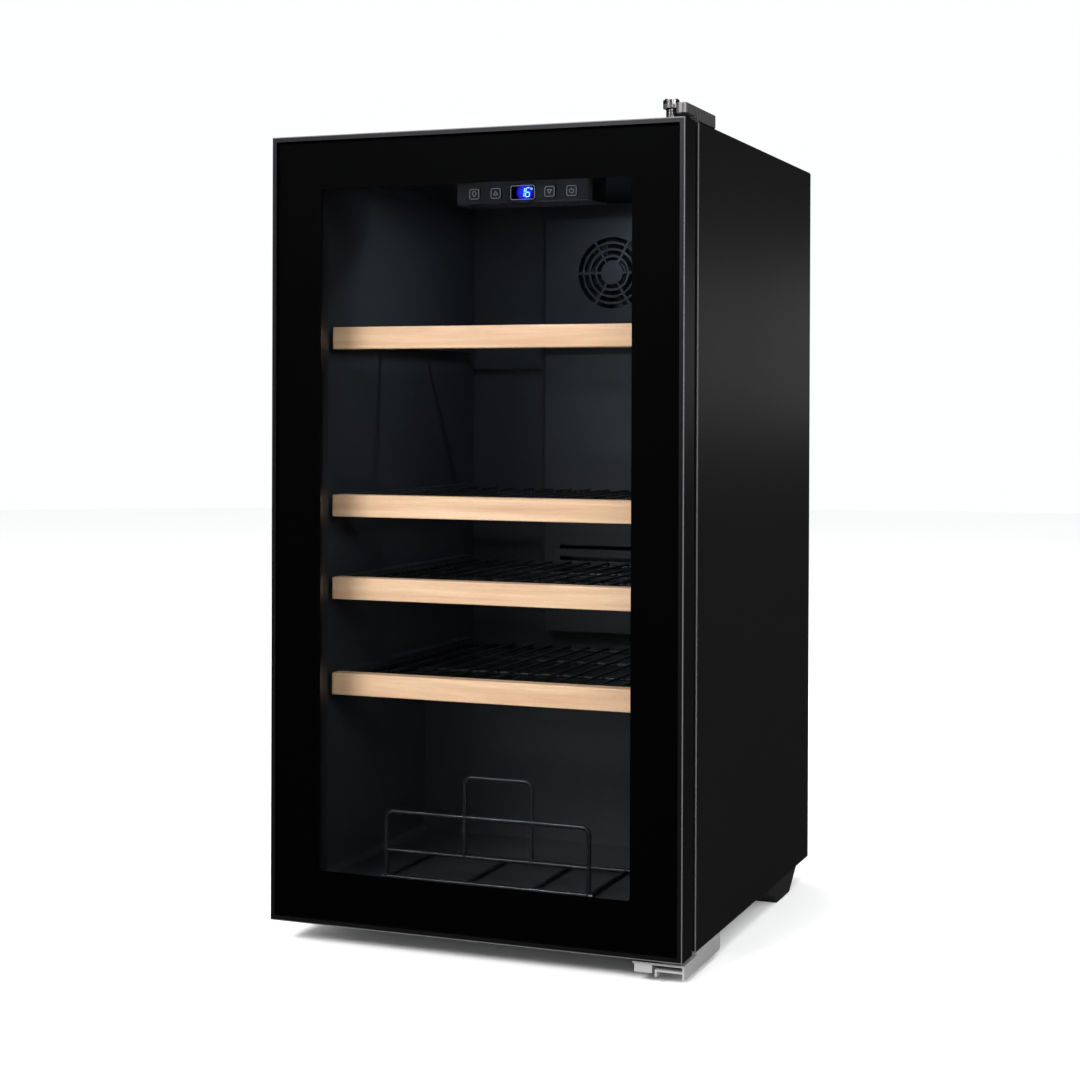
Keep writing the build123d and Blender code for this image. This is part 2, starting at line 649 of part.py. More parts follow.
with BuildPart() as rear_feet:
    for side in (-1, 1):
        with BuildSketch(Plane.YZ.offset(side * (half - skid_width / 2))):
            with BuildLine():
                Polyline(
                    (cabinet_back - skid_back, cabinet_bottom),
                    (cabinet_back - skid_back - skid_length, cabinet_bottom),
                    (cabinet_back - skid_back - skid_length, 8),
                    (cabinet_back - skid_back - skid_length + 8, 0),
                    (cabinet_back - skid_back - 34, 0),
                    close=True,
                )
            make_face()
        extrude(amount=skid_width / 2 - 1, both=True)
finish(rear_feet.part, "rear_feet")

# ---------------------------------------------------------------- door
with BuildPart() as door_frame:
    door_ring(0, lip, door_front, door_back)
    door_ring(lip, rail_width, seat, retainer_y)
    door_ring(lip, retainer_edge, seat, door_back)
    with BuildSketch(facing(door_front + rail_front)):
        rect(-half + groove_depth + rail_wall, half - rail_wall,
             door_bottom + rail_wall, door_top - rail_wall)
        rect(-half + rail_width - rail_wall, half - rail_width + rail_wall,
             door_bottom + rail_width - rail_wall, door_top - rail_width + rail_wall, mode=Mode.SUBTRACT)
    extrude(amount=door_front + rail_front - retainer_y + rail_wall, mode=Mode.SUBTRACT)
    groove_front = door_front + groove_back
    block((-half, -half + groove_depth), (groove_front, groove_front + groove_width),
          (door_bottom + groove_margin, door_top - groove_margin), Mode.SUBTRACT)
    door_height = door_top - door_bottom
    corners = door_frame.edges().filter_by(Axis.Z).filter_by(lambda edge: edge.length > door_height - 1)
    fillet(corners.group_by(Axis.Y)[-1], door_back_radius)
    fillet(corners.group_by(Axis.Y)[0], door_front_radius)
    rod((hinge_x, hinge_y, door_top - bushing_length), (hinge_x, hinge_y, door_top), bushing_radius,
        Mode.SUBTRACT)
    rod((hinge_x, hinge_y, door_bottom), (hinge_x, hinge_y, door_bottom + bushing_length), bushing_radius,
        Mode.SUBTRACT)

mitred = {
    "door_rail_top": [(-half, door_top), (half, door_top), (half - rail_width, door_top - rail_width),
                      (-half + rail_width, door_top - rail_width)],
    "door_rail_bottom": [(-half, door_bottom), (half, door_bottom),
                         (half - rail_width, door_bottom + rail_width),
                         (-half + rail_width, door_bottom + rail_width)],
    "door_stile_left": [(-half, door_bottom), (-half, door_top), (-half + rail_width, door_top - rail_width),
                        (-half + rail_width, door_bottom + rail_width)],
    "door_stile_right": [(half, door_bottom), (half, door_top), (half - rail_width, door_top - rail_width),
                         (half - rail_width, door_bottom + rail_width)],
}
for name, corners in mitred.items():
    with BuildPart() as member:
        add(door_frame.part)
        with BuildSketch(facing(door_front)):
            Polygon(*corners, align=None)
        extrude(amount=-door_depth, mode=Mode.INTERSECT)
    finish(member.part, name)

key_high = rail_width - rail_wall - 0.5
key_low = key_high - corner_key
with BuildPart() as corner_keys:
    for right in (-1, 1):
        for top in (-1, 1):
            x = sorted((right * (half - key_low), right * (half - key_high)))
            x_leg = sorted((right * (half - key_low), right * (half - key_low - key_leg)))
            edge = door_top if top == 1 else door_bottom
            z = sorted((edge - top * key_low, edge - top * key_high))
            z_leg = sorted((edge - top * key_low, edge - top * (key_low + key_leg)))
            keys_y = (door_front + rail_front + 1, retainer_y - rail_wall - 1)
            block(x, keys_y, z_leg)
            block(x_leg, keys_y, z)
finish(corner_keys.part, "corner_keys")

glass_front = door_front + glass_recess
for name, edge, front, thickness in (("outer_glass", lip, glass_front, glass),
                                     ("inner_glass", inner_glass_edge, inner_glass_y, glass)):
    with BuildPart() as pane:
        with BuildSketch(facing(front)):
            rect(-half + edge, half - edge, door_bottom + edge, door_top - edge)
        extrude(amount=-thickness)
    finish(pane.part, name)

with BuildPart() as glass_border:
    door_ring(lip, border, glass_front + glass, seat)
    fillet(glass_border.edges().filter_by(Axis.Y).filter_by_position(
        Axis.X, border - half - print_layer, half - border + print_layer), border_radius)
finish(glass_border.part, "glass_border")

with BuildPart() as glass_spacer:
    door_ring(spacer_edge, spacer_edge + spacer_width, seat, inner_glass_y)
finish(glass_spacer.part, "glass_spacer")

with BuildPart() as door_inner_frame:
    door_ring(retainer_edge, retainer_end, retainer_y, door_back)
    door_ring(retainer_end - retainer_foot, retainer_end, inner_glass_y + glass, retainer_y)
finish(door_inner_frame.part, "door_inner_frame")

with BuildPart() as door_gasket:
    door_ring(gasket_edge, gasket_edge + gasket_width, door_back, cabinet_front - gasket_clearance)
finish(door_gasket.part, "door_gasket")

# ---------------------------------------------------------------- shelves
front_half = inner_half - front_clearance
rod_half = inner_half - rod_edge
front_rod_y = board_back + rod_radius - weld
back_rod_y = shelf_end - rod_radius
wire_pitch = 2 * (rod_half - wire_margin) / (wire_count - 1)
for number, (level, rod_z) in enumerate(zip(shelf_levels, rod_levels), start=1):
    front_top = cabinet_bottom + level
    with BuildPart() as shelf_wire:
        bent_rod([(-rod_half, front_rod_y, rod_z), (rod_half, front_rod_y, rod_z),
                  (rod_half, back_rod_y, rod_z), (-rod_half, back_rod_y, rod_z)],
                 rod_bend, rod_radius, close=True)
        for share in (1 / 3, 2 / 3):
            y = front_rod_y + share * (back_rod_y - front_rod_y)
            rod((-rod_half, y, rod_z), (rod_half, y, rod_z), cross_radius)
        wire_z = rod_z + rod_radius + wire_radius - weld
        for step in range(wire_count):
            x = -rod_half + wire_margin + step * wire_pitch
            rod((x, front_rod_y - wire_end, wire_z), (x, back_rod_y + wire_end, wire_z), wire_radius)
    finish(shelf_wire.part, f"shelf_{number}_wire")
    with BuildPart() as shelf_front:
        block((-front_half, front_half), (board_back - front_thickness, board_back),
              (front_top - front_height, front_top))
        fillet(shelf_front.edges().filter_by(Axis.Z), 3)
        fillet(shelf_front.edges().filter_by(Axis.X).group_by(Axis.Y)[0], 1.5)
        add(shelf_wire.part, mode=Mode.SUBTRACT)
    finish(shelf_front.part, f"shelf_{number}_front")

# ---------------------------------------------------------------- control panel
panel_face = door_front + panel_set_back
panel_half = panel_width / 2
panel_low = ceiling - panel_drop
key_z = panel_low + key_lift
inside = panel_face + panel_wall
with BuildPart() as control_housing:
    block((-panel_half, panel_half), (panel_face, panel_face + panel_depth), (panel_low, ceiling))
    fillet(control_housing.edges().filter_by(Axis.Z), 4)
    fillet(control_housing.faces().sort_by(Axis.Z)[0].edges(), 1.5)
    block((-panel_half + panel_wall, panel_half - panel_wall),
          (inside, panel_face + panel_depth - panel_wall), (panel_low + panel_wall, ceiling), Mode.SUBTRACT)
    for x in key_places.values():
        block((x - key_width / 2, x + key_width / 2), (panel_face - 1, inside + 1),
              (key_z - key_height / 2, key_z + key_height / 2), Mode.SUBTRACT)
    block((-display_width / 2, display_width / 2), (panel_face - 1, inside + 1),
          (key_z - display_height / 2, key_z + display_height / 2), Mode.SUBTRACT)
finish(control_housing.part, "control_housing")

with BuildPart() as display_lens:
    block((-display_width / 2, display_width / 2), (panel_face, inside),
          (key_z - display_height / 2, key_z + display_height / 2))
finish(display_lens.part, "display_lens")

stem_end = inside + 4.5
switch_face = stem_end + key_travel + 0.1
for name, x in key_places.items():
    cap_half = key_width / 2 - key_clearance
    cap_half_height = key_height / 2 - key_clearance
    with BuildPart() as key:
        block((x - cap_half, x + cap_half), (panel_face - key_proud, inside + 0.3),
              (key_z - cap_half_height, key_z + cap_half_height))
        fillet(key.edges().filter_by(Axis.Y), 1.5)
        block((x - cap_half - 1, x + cap_half + 1), (inside + 0.3, inside + 1.3),
              (key_z - cap_half_height - 0.6, key_z + cap_half_height + 1))
        rod((x, inside + 1.3, key_z), (x, stem_end, key_z), 2)
    finish(key.part, f"key_{name}")

board_front = switch_face + 2.5
with BuildPart() as control_board:
    block((-panel_half + panel_wall, panel_half - panel_wall), (board_front, board_front + board),
          (panel_low + panel_wall, ceiling - 2))
    for x in key_places.values():
        block((x - 3, x + 3), (switch_face, board_front), (key_z - 3, key_z + 3))
    block((-13, 13), (inside + 0.5, board_front), (key_z - 7, key_z + 7))
finish(control_board.part, "control_board")

# ---------------------------------------------------------------- lamp
lamp_front = panel_face + panel_depth + 10
with BuildPart() as lamp_lens:
    block((-lamp_width / 2, lamp_width / 2), (lamp_front, lamp_front + lamp_depth),
          (ceiling - lamp_height, ceiling))
    fillet(lamp_lens.edges().filter_by(Axis.X).group_by(Axis.Z)[0], 2.5)
    block((-lamp_width / 2 + lamp_wall, lamp_width / 2 - lamp_wall),
          (lamp_front + lamp_wall, lamp_front + lamp_depth - lamp_wall),
          (ceiling - lamp_height + lamp_wall, ceiling), Mode.SUBTRACT)
finish(lamp_lens.part, "lamp_lens")

with BuildPart() as lamp_board:
    block((-lamp_width / 2 + 3, lamp_width / 2 - 3), (lamp_front + 3, lamp_front + lamp_depth - 3),
          (ceiling - board, ceiling))
    for step in range(lamp_count):
        x = -lamp_width / 2 + 16 + step * (lamp_width - 32) / (lamp_count - 1)
        block((x - 2, x + 2), (lamp_front + 7, lamp_front + 11), (ceiling - board - 1, ceiling - board))
finish(lamp_board.part, "lamp_board")

# ---------------------------------------------------------------- fan and duct
duct_top = ceiling - duct_drop
duct_low = hump_top + duct_rise
duct_face = inner_back - duct_depth
fan_z = duct_top - 20 - fan_size / 2
fan_front = duct_face + duct_wall
bore = fan_size / 2 - fan_wall
rotor_radius = bore - rotor_clearance
with BuildPart() as duct_cover:
    block((-duct_width / 2, duct_width / 2), (duct_face, inner_back), (duct_low, duct_top))
    fillet(duct_cover.edges().filter_by(Axis.Z).group_by(Axis.Y)[0], 6)
    block((-duct_width / 2 + duct_wall, duct_width / 2 - duct_wall), (fan_front, inner_back),
          (duct_low + duct_wall, duct_top - duct_wall), Mode.SUBTRACT)
    for radius in (bore, bore - 8, bore - 16, bore - 24):
        with BuildSketch(facing(duct_face)):
            with Locations((0, fan_z)):
                Circle(radius)
                Circle(radius - grille_slot, mode=Mode.SUBTRACT)
        extrude(amount=-duct_wall, mode=Mode.SUBTRACT)
    with BuildSketch(facing(duct_face)):
        with Locations((0, fan_z)):
            for angle in (0, 60, 120):
                Rectangle(2 * bore + 2, 3, rotation=angle)
    extrude(amount=-duct_wall)
    for step in range(6):
        z = duct_low + 30 + step * 14
        block((-duct_width / 2 + 24, duct_width / 2 - 24), (duct_face, fan_front), (z, z + 5), Mode.SUBTRACT)
finish(duct_cover.part, "duct_cover")

rotor_front = fan_front + 3
rotor_back = fan_front + fan_depth - 4
with BuildPart() as fan_frame:
    block((-fan_size / 2, fan_size / 2), (fan_front, fan_front + fan_depth),
          (fan_z - fan_size / 2, fan_z + fan_size / 2))
    rod((0, fan_front, fan_z), (0, fan_front + fan_depth, fan_z), bore, Mode.SUBTRACT)
    for z in (fan_z - 3, fan_z + 3):
        block((-bore - 1, bore + 1), (rotor_back + 1.5, fan_front + fan_depth), (z - 1.5, z + 1.5))
    rod((0, rotor_back + 1, fan_z), (0, fan_front + fan_depth, fan_z), hub_radius - 2)
    rod((0, rotor_front + 3, fan_z), (0, rotor_back + 1, fan_z), 2)
finish(fan_frame.part, "fan_frame")

with BuildPart() as fan_rotor:
    rod((0, rotor_front, fan_z), (0, rotor_back, fan_z), hub_radius)
    fillet(fan_rotor.edges().filter_by(GeomType.CIRCLE).sort_by(Axis.Y)[0], 2)
    blade = Box(blade_chord, blade_sheet, rotor_radius - hub_radius + 2, mode=Mode.PRIVATE)
    for step in range(blade_count):
        turn = Pos(0, (rotor_front + rotor_back) / 2, fan_z) * Rot(0, step * 360 / blade_count, 0)
        add(turn * Pos(0, 0, (hub_radius + rotor_radius) / 2) * Rot(0, 0, blade_pitch) * blade)
    rod((0, rotor_front + 2.5, fan_z), (0, rotor_back, fan_z), 2 + pin_clearance, Mode.SUBTRACT)
finish(fan_rotor.part, "fan_rotor")

# ---------------------------------------------------------------- temperature sensor
sensor_y, sensor_z = 60.0, rod_levels[1] + 60
with BuildPart() as temperature_sensor:
    block((inner_half - 9, inner_half), (sensor_y - 11, sensor_y + 11), (sensor_z - 24, sensor_z + 24))
    fillet(temperature_sensor.edges().filter_by(Axis.X), 6)
    fillet(temperature_sensor.faces().sort_by(Axis.X)[0].edges(), 3)
    for step in range(-2, 3):
        z = sensor_z + step * 7
        block((inner_half - 10, inner_half - 7), (sensor_y - 7, sensor_y + 7), (z - 1.2, z + 1.2),
              Mode.SUBTRACT)
finish(temperature_sensor.part, "temperature_sensor")

# ---------------------------------------------------------------- bottle rack
rack_y = door_front + rack_set_back
rack_low = inner_floor + rod_radius + 0.3
rack_top = inner_floor + rack_height
with BuildPart() as bottle_rack:
    bent_rod([(rack_left, rack_y, rack_low), (rack_left, rack_y, rack_top), (rack_right, rack_y, rack_top),
              (rack_right, rack_y, rack_low)], rack_bend, rod_radius)
    bar_z = inner_floor + rack_bar
    rod((rack_left, rack_y, bar_z), (rack_right, rack_y, bar_z), cross_radius)
    bent_rod([(hoop_left, rack_y, bar_z), (hoop_left, rack_y, inner_floor + rack_hoop),
              (hoop_right, rack_y, inner_floor + rack_hoop), (hoop_right, rack_y, bar_z)],
             rack_bend, rod_radius)
    for x in (rack_left, hoop_left, hoop_right, rack_right):
        rod((x, rack_y, rack_low), (x, rack_y + rack_length + 4, rack_low), cross_radius)
    for y in (rack_y, rack_y + rack_length):
        rod((rack_left - 5, y, rack_low), (rack_right + 5, y, rack_low), rod_radius)
finish(bottle_rack.part, "bottle_rack")
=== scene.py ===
"""Finishes, seals, markings and studio for a wine cooler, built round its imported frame.

Lengths are in metres. X runs to the hinge side, Y from the door to the back and Z up.
"""
import math

import bmesh
import bpy
from bpy.props import FloatProperty, FloatVectorProperty, IntProperty, PointerProperty
from mathutils import Euler, Matrix, Vector


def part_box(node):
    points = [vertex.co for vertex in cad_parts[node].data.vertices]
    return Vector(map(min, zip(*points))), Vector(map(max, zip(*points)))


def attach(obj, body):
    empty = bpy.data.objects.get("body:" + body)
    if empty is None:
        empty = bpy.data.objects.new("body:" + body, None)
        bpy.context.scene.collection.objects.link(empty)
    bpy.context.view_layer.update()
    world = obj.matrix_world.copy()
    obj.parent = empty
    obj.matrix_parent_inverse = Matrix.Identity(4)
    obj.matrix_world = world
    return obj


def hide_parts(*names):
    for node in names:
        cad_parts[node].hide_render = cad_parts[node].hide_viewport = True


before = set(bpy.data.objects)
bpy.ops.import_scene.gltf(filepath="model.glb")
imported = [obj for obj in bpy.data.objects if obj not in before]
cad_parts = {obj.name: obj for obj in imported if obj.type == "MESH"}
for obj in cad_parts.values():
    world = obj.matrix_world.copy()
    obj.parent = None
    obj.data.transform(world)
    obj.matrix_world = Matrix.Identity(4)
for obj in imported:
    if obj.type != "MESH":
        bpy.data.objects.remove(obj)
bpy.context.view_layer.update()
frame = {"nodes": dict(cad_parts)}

bl_info = {
    "name": "Wine cooler",
    "version": (1, 0, 0),
    "blender": (4, 5, 0),
    "location": "View3D > Sidebar > Wine cooler",
    "description": "Finishes the cooler's pieces, adds its seals and markings, and sets up the studio",
    "category": "Object",
}

MILLIMETRE = 0.001
INK = (0.42, 0.43, 0.45)    # printed outlines and signs
INK_LIGHT = 0.22            # how strongly the panel's own light shows through them


def colour(name, description, default):
    """A colour setting with sliders from 0 to 1."""
    return FloatVectorProperty(
        name=name, description=description, default=default, subtype="COLOR", size=3, min=0, max=1)


def length(name, description, default):
    """A length setting in metres."""
    return FloatProperty(name=name, description=description, default=default, unit="LENGTH", min=0)


class CoolerFinishes(bpy.types.PropertyGroup):
    """Colours of the cooler's surfaces."""

    cabinet: colour("Cabinet", "Satin powder coat of the steel cabinet", (0.0036, 0.0037, 0.0043))
    frame: colour("Door frame", "Anodised frame of the door", (0.019, 0.019, 0.021))
    liner: colour("Liner", "Moulded plastic inside the cabinet", (0.021, 0.0212, 0.0225))
    plastic: colour("Plastic", "Black moulded fittings", (0.012, 0.012, 0.013))
    wire: colour("Wire", "Coating of the shelves and the bottle rack", (0.010, 0.010, 0.011))
    beech_pale: colour("Pale beech", "Lighter bands of the shelf fronts", (0.76, 0.487, 0.302))
    beech_deep: colour("Deep beech", "Darker bands of the shelf fronts", (0.58, 0.322, 0.178))
    # painted highlight: pale colour laid along the door frame's front edge in place of the light that edge
    # catches
    painted_edge_highlight: colour("Cut edge", "Bright cut edge of the door frame", (0.115, 0.115, 0.12))
    glass_tint: colour("Glass tint", "What each face of the outer pane lets through", (0.915, 0.925, 0.93))
    digits: colour("Digits", "Lit segments of the display", (0.16, 0.42, 1.0))
    glow: colour("Glow", "Light round the lit segments", (0.02, 0.02, 0.95))


class CoolerDetails(bpy.types.PropertyGroup):
    """Sizes of the pieces that are added to the frame."""

    mark_width: length("Mark width", "Width of a printed line on the keys", 0.00055)
    mark_lift: length("Mark lift", "How far a printed line stands off its surface", 0.00008)
    digit_height: length("Digit height", "Height of a digit on the display", 0.0095)
    digit_gap: length("Digit gap", "Middle of one digit to the next", 0.0062)
    lamp_end: length("Lamp end", "End of the lamp's cover to the nearest small lamp", 0.016)
    lamp_count: IntProperty(name="Lamp count", description="Small lamps under the cover", default=4, min=2)
    seal_folds: IntProperty(name="Seal folds", description="Folds of the door seal", default=2, min=1)
    seal_width: length("Seal width", "How far the door seal reaches in from its outer edge", 0.010)


class CoolerStudio(bpy.types.PropertyGroup):
    """Camera, floor and lights."""

    camera_place: FloatVectorProperty(
        name="Camera", description="Place of the camera", default=(0.798, -2.0924, 0.560), subtype="XYZ")
    heading: FloatProperty(
        name="Heading", description="Turn of the camera to the left", default=math.radians(21.42),
        subtype="ANGLE")
    drop: FloatProperty(
        name="Drop", description="Downward tilt of the camera", default=math.radians(0.32), subtype="ANGLE")
    roll: FloatProperty(
        name="Roll", description="Roll of the camera", default=math.radians(0.2), subtype="ANGLE")
    lens: FloatProperty(name="Lens", description="Focal length", default=66.57, unit="CAMERA")
    shift: FloatProperty(name="Shift", description="Vertical shift of the lens", default=-0.1119)
    floor_radius: length("Floor radius", "Radius of the round floor", 9.0)
    floor: colour("Floor", "Pale floor", (0.985, 0.985, 0.985))
    sky: colour("Sky", "Even light round the studio", (0.99, 0.995, 1.0))
    sky_strength: FloatProperty(name="Sky strength", description="Strength of the even light", default=1.0)
    mirrored_sky: FloatProperty(
        name="Mirrored sky", description="Share of the even light that reflections show", default=0.028)
    fill_power: FloatProperty(
        name="Fill power", description="Power of the softbox on the right", default=60, unit="POWER")
    key_power: FloatProperty(
        name="Key power", description="Power of the main softbox", default=190, unit="POWER")
    edge_power: FloatProperty(
        name="Edge power", description="Power of the strip that lights the edges", default=30, unit="POWER")
    side_power: FloatProperty(
        name="Side power", description="Power of the softbox beside the cabinet", default=0.85, unit="POWER")
    rear_power: FloatProperty(
        name="Rear power", description="Power of the softbox behind the cabinet", default=35, unit="POWER")
    top_power: FloatProperty(
        name="Top power", description="Power of the softbox overhead", default=45, unit="POWER")
    lamp_strength: FloatProperty(
        name="Lamp strength", description="Brightness of the lamp inside the cabinet", default=9)


# ------------------------------------------------------------------ shader writing
class Value:
    """A number that comes out of a shader node, for use in ordinary sums."""

    def __init__(self, paint, socket):
        self.paint = paint
        self.socket = socket

    def _sum(self, operation, first, second):
        return self.paint.node("ShaderNodeMath", {"operation": operation}, {0: first, 1: second})[0]

    def __add__(self, other):
        return self._sum("ADD", self, other)

    def __radd__(self, other):
        return self._sum("ADD", other, self)

    def __sub__(self, other):
        return self._sum("SUBTRACT", self, other)

    def __rsub__(self, other):
        return self._sum("SUBTRACT", other, self)

    def __mul__(self, other):
        return self._sum("MULTIPLY", self, other)

    def __truediv__(self, other):
        return self._sum("DIVIDE", self, other)

    def __pow__(self, other):
        return self._sum("POWER", self, other)

    def __abs__(self):
        return self._sum("ABSOLUTE", self, 0)


class Made:
    """A shader node whose outputs are read as values."""

    def __init__(self, paint, node):
        self.paint = paint
        self.node = node

    def __getitem__(self, output):
        return Value(self.paint, self.node.outputs[output])


class Paint:
    """A material under construction, with its surface shader's own settings."""

    def __init__(self, name, **settings):
        self.material = bpy.data.materials.new(name)
        self.material.use_nodes = True
        self.tree = self.material.node_tree
        self.surface = self.tree.nodes["Principled BSDF"]
        self.end = self.tree.nodes["Material Output"]
        for socket, value in settings.items():
            self.set(socket.replace("_", " ").title().replace("Ior", "IOR"), value)

    def set(self, socket, value):
        """Give one of the surface shader's sockets a number, a colour or a link."""
        if isinstance(value, (tuple, list)) or hasattr(value, "hsv"):
            value = (*value[:3], 1)
        self._feed(self.surface.inputs[socket], value)

    def _feed(self, socket, value):
        if isinstance(value, Value):
            self.tree.links.new(value.socket, socket)
        else:
            socket.default_value = value

    def node(self, kind, settings=None, inputs=None):
        """Add a node of any kind, set it up, and return its outputs."""
        made = self.tree.nodes.new(kind)
        for name, value in (settings or {}).items():
            if name == "stops":
                ramp = made.color_ramp
                while len(ramp.elements) < len(value):
                    ramp.elements.new(0.5)
                for element, (place, shade) in zip(ramp.elements, value):
                    element.position = place
                    element.color = (*shade, 1)
            else:
                setattr(made, name, value)
        for name, value in (inputs or {}).items():
            self._feed(made.inputs[name], value)
        return Made(self, made)

    def place(self, scale=(1, 1, 1)):
        """The point's place on the cooler, stretched by scale along each axis."""
        here = self.node("ShaderNodeTexCoord")["Object"]
        return self.node("ShaderNodeVectorMath", {"operation": "MULTIPLY"}, {0: here, 1: scale})[0]

    def along(self):
        """The point's X, Y and Z, in metres."""
        parts = self.node("ShaderNodeSeparateXYZ", None, {0: self.node("ShaderNodeTexCoord")["Object"]})
        return parts["X"], parts["Y"], parts["Z"]

    def noise(self, scale, detail=2.0, roughness=0.5, stretch=(1, 1, 1), distortion=0.0):
        """Cloudy noise from 0 to 1, scale being waves per metre."""
        return self.node(
            "ShaderNodeTexNoise", None,
            {"Vector": self.place(stretch), "Scale": scale, "Detail": detail, "Roughness": roughness,
             "Distortion": distortion})["Fac"]

    def cells(self, scale, feature="F1", output="Distance", stretch=(1, 1, 1)):
        """Voronoi cells, scale being cells per metre."""
        return self.node("ShaderNodeTexVoronoi", {"feature": feature},
                         {"Vector": self.place(stretch), "Scale": scale})[output]

    def ramp(self, value, low, high):
        """Value stretched so that low becomes 0 and high becomes 1."""
        return self.node("ShaderNodeMapRange", None, {"Value": value, "From Min": low, "From Max": high})[0]

    def mix(self, factor, first, second):
        """A colour between first and second."""
        shades = [shade if isinstance(shade, Value) else (*shade[:3], 1) for shade in (first, second)]
        return self.node("ShaderNodeMix", {"data_type": "RGBA"}, {0: factor, 6: shades[0], 7: shades[1]})[2]

    def bump(self, height, depth, strength=1.0):
        """Raise the surface by height, a value from 0 to 1, times depth in metres."""
        normal = self.node(
            "ShaderNodeBump", None, {"Height": height, "Distance": depth, "Strength": strength})
        self.set("Normal", normal["Normal"])


def shade(tone, share):
    """A colour made darker or lighter by a share."""
    return tuple(min(1.0, channel * share) for channel in tone[:3])


# ------------------------------------------------------------------ finishes
def highlight_edge_mask(paint, box, width):
    """1 along the outer edge round the front of a box, fading out over a quarter of the width: the mask for a
    painted highlight.
    """
    low, high = box
    across, depth, up = paint.along()
    beside = paint.ramp(abs(across - (low.x + high.x) / 2), (high.x - low.x) / 2 - width,
                        (high.x - low.x) / 2 - width * 0.75)
    beyond = paint.ramp(abs(up - (low.z + high.z) / 2), (high.z - low.z) / 2 - width,
                        (high.z - low.z) / 2 - width * 0.75)
    return (1 - (1 - beside) * (1 - beyond)) * paint.ramp(depth, low.y + width * 1.25, low.y + width)


def powder_coat(name, tone, roughness=0.30, highlight_box=None):
    """Satin powder coat with a fine orange peel; given a box, a painted highlight runs round its front edge.
    """
    paint = Paint(name, specular_ior_level=0.32)
    cloud = paint.noise(3.0, 4.0)
    peel = paint.noise(620.0, 2.0)
    coat = paint.mix(cloud, shade(tone, 0.8), shade(tone, 1.25))
    if highlight_box:
        # painted highlight: pale grey laid along the front edge in place of the light its fold catches
        coat = paint.mix(highlight_edge_mask(paint, highlight_box, 1.1 * MILLIMETRE) * 0.8, coat, (0.13, 0.13, 0.135))
    paint.set("Base Color", coat)
    paint.set("Roughness", roughness + (cloud - 0.5) * 0.10 + (peel - 0.5) * 0.05)
    paint.bump(peel, 0.00006)
    return paint.material


def moulded_plastic(name, tone, roughness=0.5, grain=1400.0):
    """Moulded plastic with a fine leather grain."""
    paint = Paint(name, specular_ior_level=0.4)
    grains = paint.cells(grain, "SMOOTH_F1")
    cloud = paint.noise(9.0, 3.0)
    paint.set("Base Color", paint.mix(cloud, shade(tone, 0.85), shade(tone, 1.2)))
    paint.set("Roughness", roughness + (cloud - 0.5) * 0.12)
    paint.bump(grains, 0.00005)
    return paint.material


def gloss_plastic(name, tone, roughness=0.12):
    """Polished plastic with faint flow marks and hair scratches."""
    paint = Paint(name, specular_ior_level=0.5)
    flow = paint.noise(14.0, 2.0)
    hairs = paint.noise(60.0, 3.0, stretch=(1, 1, 30))
    paint.set("Base Color", paint.mix(flow, shade(tone, 0.85), shade(tone, 1.15)))
    paint.set("Roughness", roughness + (hairs - 0.5) * 0.08)
    paint.bump(flow, 0.00008)
    return paint.material


def brushed_metal(name, tone, roughness=0.28, stretch=(1, 40, 40), depth=0.00002, metallic=1.0):
    """Metal with fine lines, long where stretch is small."""
    paint = Paint(name, metallic=metallic)
    lines = paint.noise(90.0, 4.0, 0.65, stretch)
    cloud = paint.noise(11.0, 3.0)
    paint.set("Base Color", paint.mix(lines, shade(tone, 0.82), shade(tone, 1.12)))
    paint.set("Roughness", roughness + (lines - 0.5) * 0.16 + (cloud - 0.5) * 0.08)
    paint.bump(lines, depth)
    return paint.material


def anodised_frame(name, tone, cut, stretch, box):
    """Dark anodised metal with a painted highlight round the front edge of the box, in place of the light its
    edge catches.
    """
    paint = Paint(name)
    edge = highlight_edge_mask(paint, box, 1.0 * MILLIMETRE)
    lines = paint.noise(90.0, 4.0, 0.65, stretch)
    # painted highlight: the pale tone and lower metallic along the front edge stand in for light caught by the
    # edge
    paint.set("Base Color", paint.mix(edge, paint.mix(lines, shade(tone, 0.82), shade(tone, 1.12)), cut))
    paint.set("Metallic", 0.9 - edge * 0.5)
    paint.set("Roughness", 0.30 + (lines - 0.5) * 0.16)
    paint.bump(lines, 0.00001)
    return paint.material


def polished_metal(name, tone, roughness=0.12, metallic=1.0):
    """Plated metal with a slight haze and wiped marks."""
    paint = Paint(name, metallic=metallic)
    haze = paint.noise(45.0, 5.0, 0.6)
    paint.set("Base Color", paint.mix(haze, shade(tone, 0.85), shade(tone, 1.1)))
    paint.set("Roughness", roughness + haze * 0.08)
    paint.bump(haze, 0.00002)
    return paint.material


def zinc_sheet(name, tone):
    """Hot-dipped zinc with its crystal spangle."""
    paint = Paint(name, metallic=0.35)
    crystal = paint.cells(150.0, "F1", "Color")
    grey = paint.node("ShaderNodeSeparateXYZ", None, {0: crystal})["X"]
    streak = paint.noise(30.0, 4.0, 0.6, (1, 1, 5))
    paint.set("Base Color", paint.mix(grey * 0.6 + streak * 0.4, shade(tone, 0.88), shade(tone, 1.06)))
    paint.set("Roughness", 0.38 + grey * 0.10 + (streak - 0.5) * 0.12)
    paint.bump(grey, 0.00002)
    return paint.material


def copper_tube(name, tone):
    """Drawn copper with brown tarnish."""
    paint = Paint(name, metallic=0.7)
    tarnish = paint.ramp(paint.noise(55.0, 5.0, 0.65), 0.35, 0.7)
    paint.set("Base Color", paint.mix(tarnish, tone, (0.20, 0.085, 0.045)))
    paint.set("Roughness", 0.20 + tarnish * 0.3)
    paint.bump(paint.noise(500.0, 2.0), 0.00002)
    return paint.material


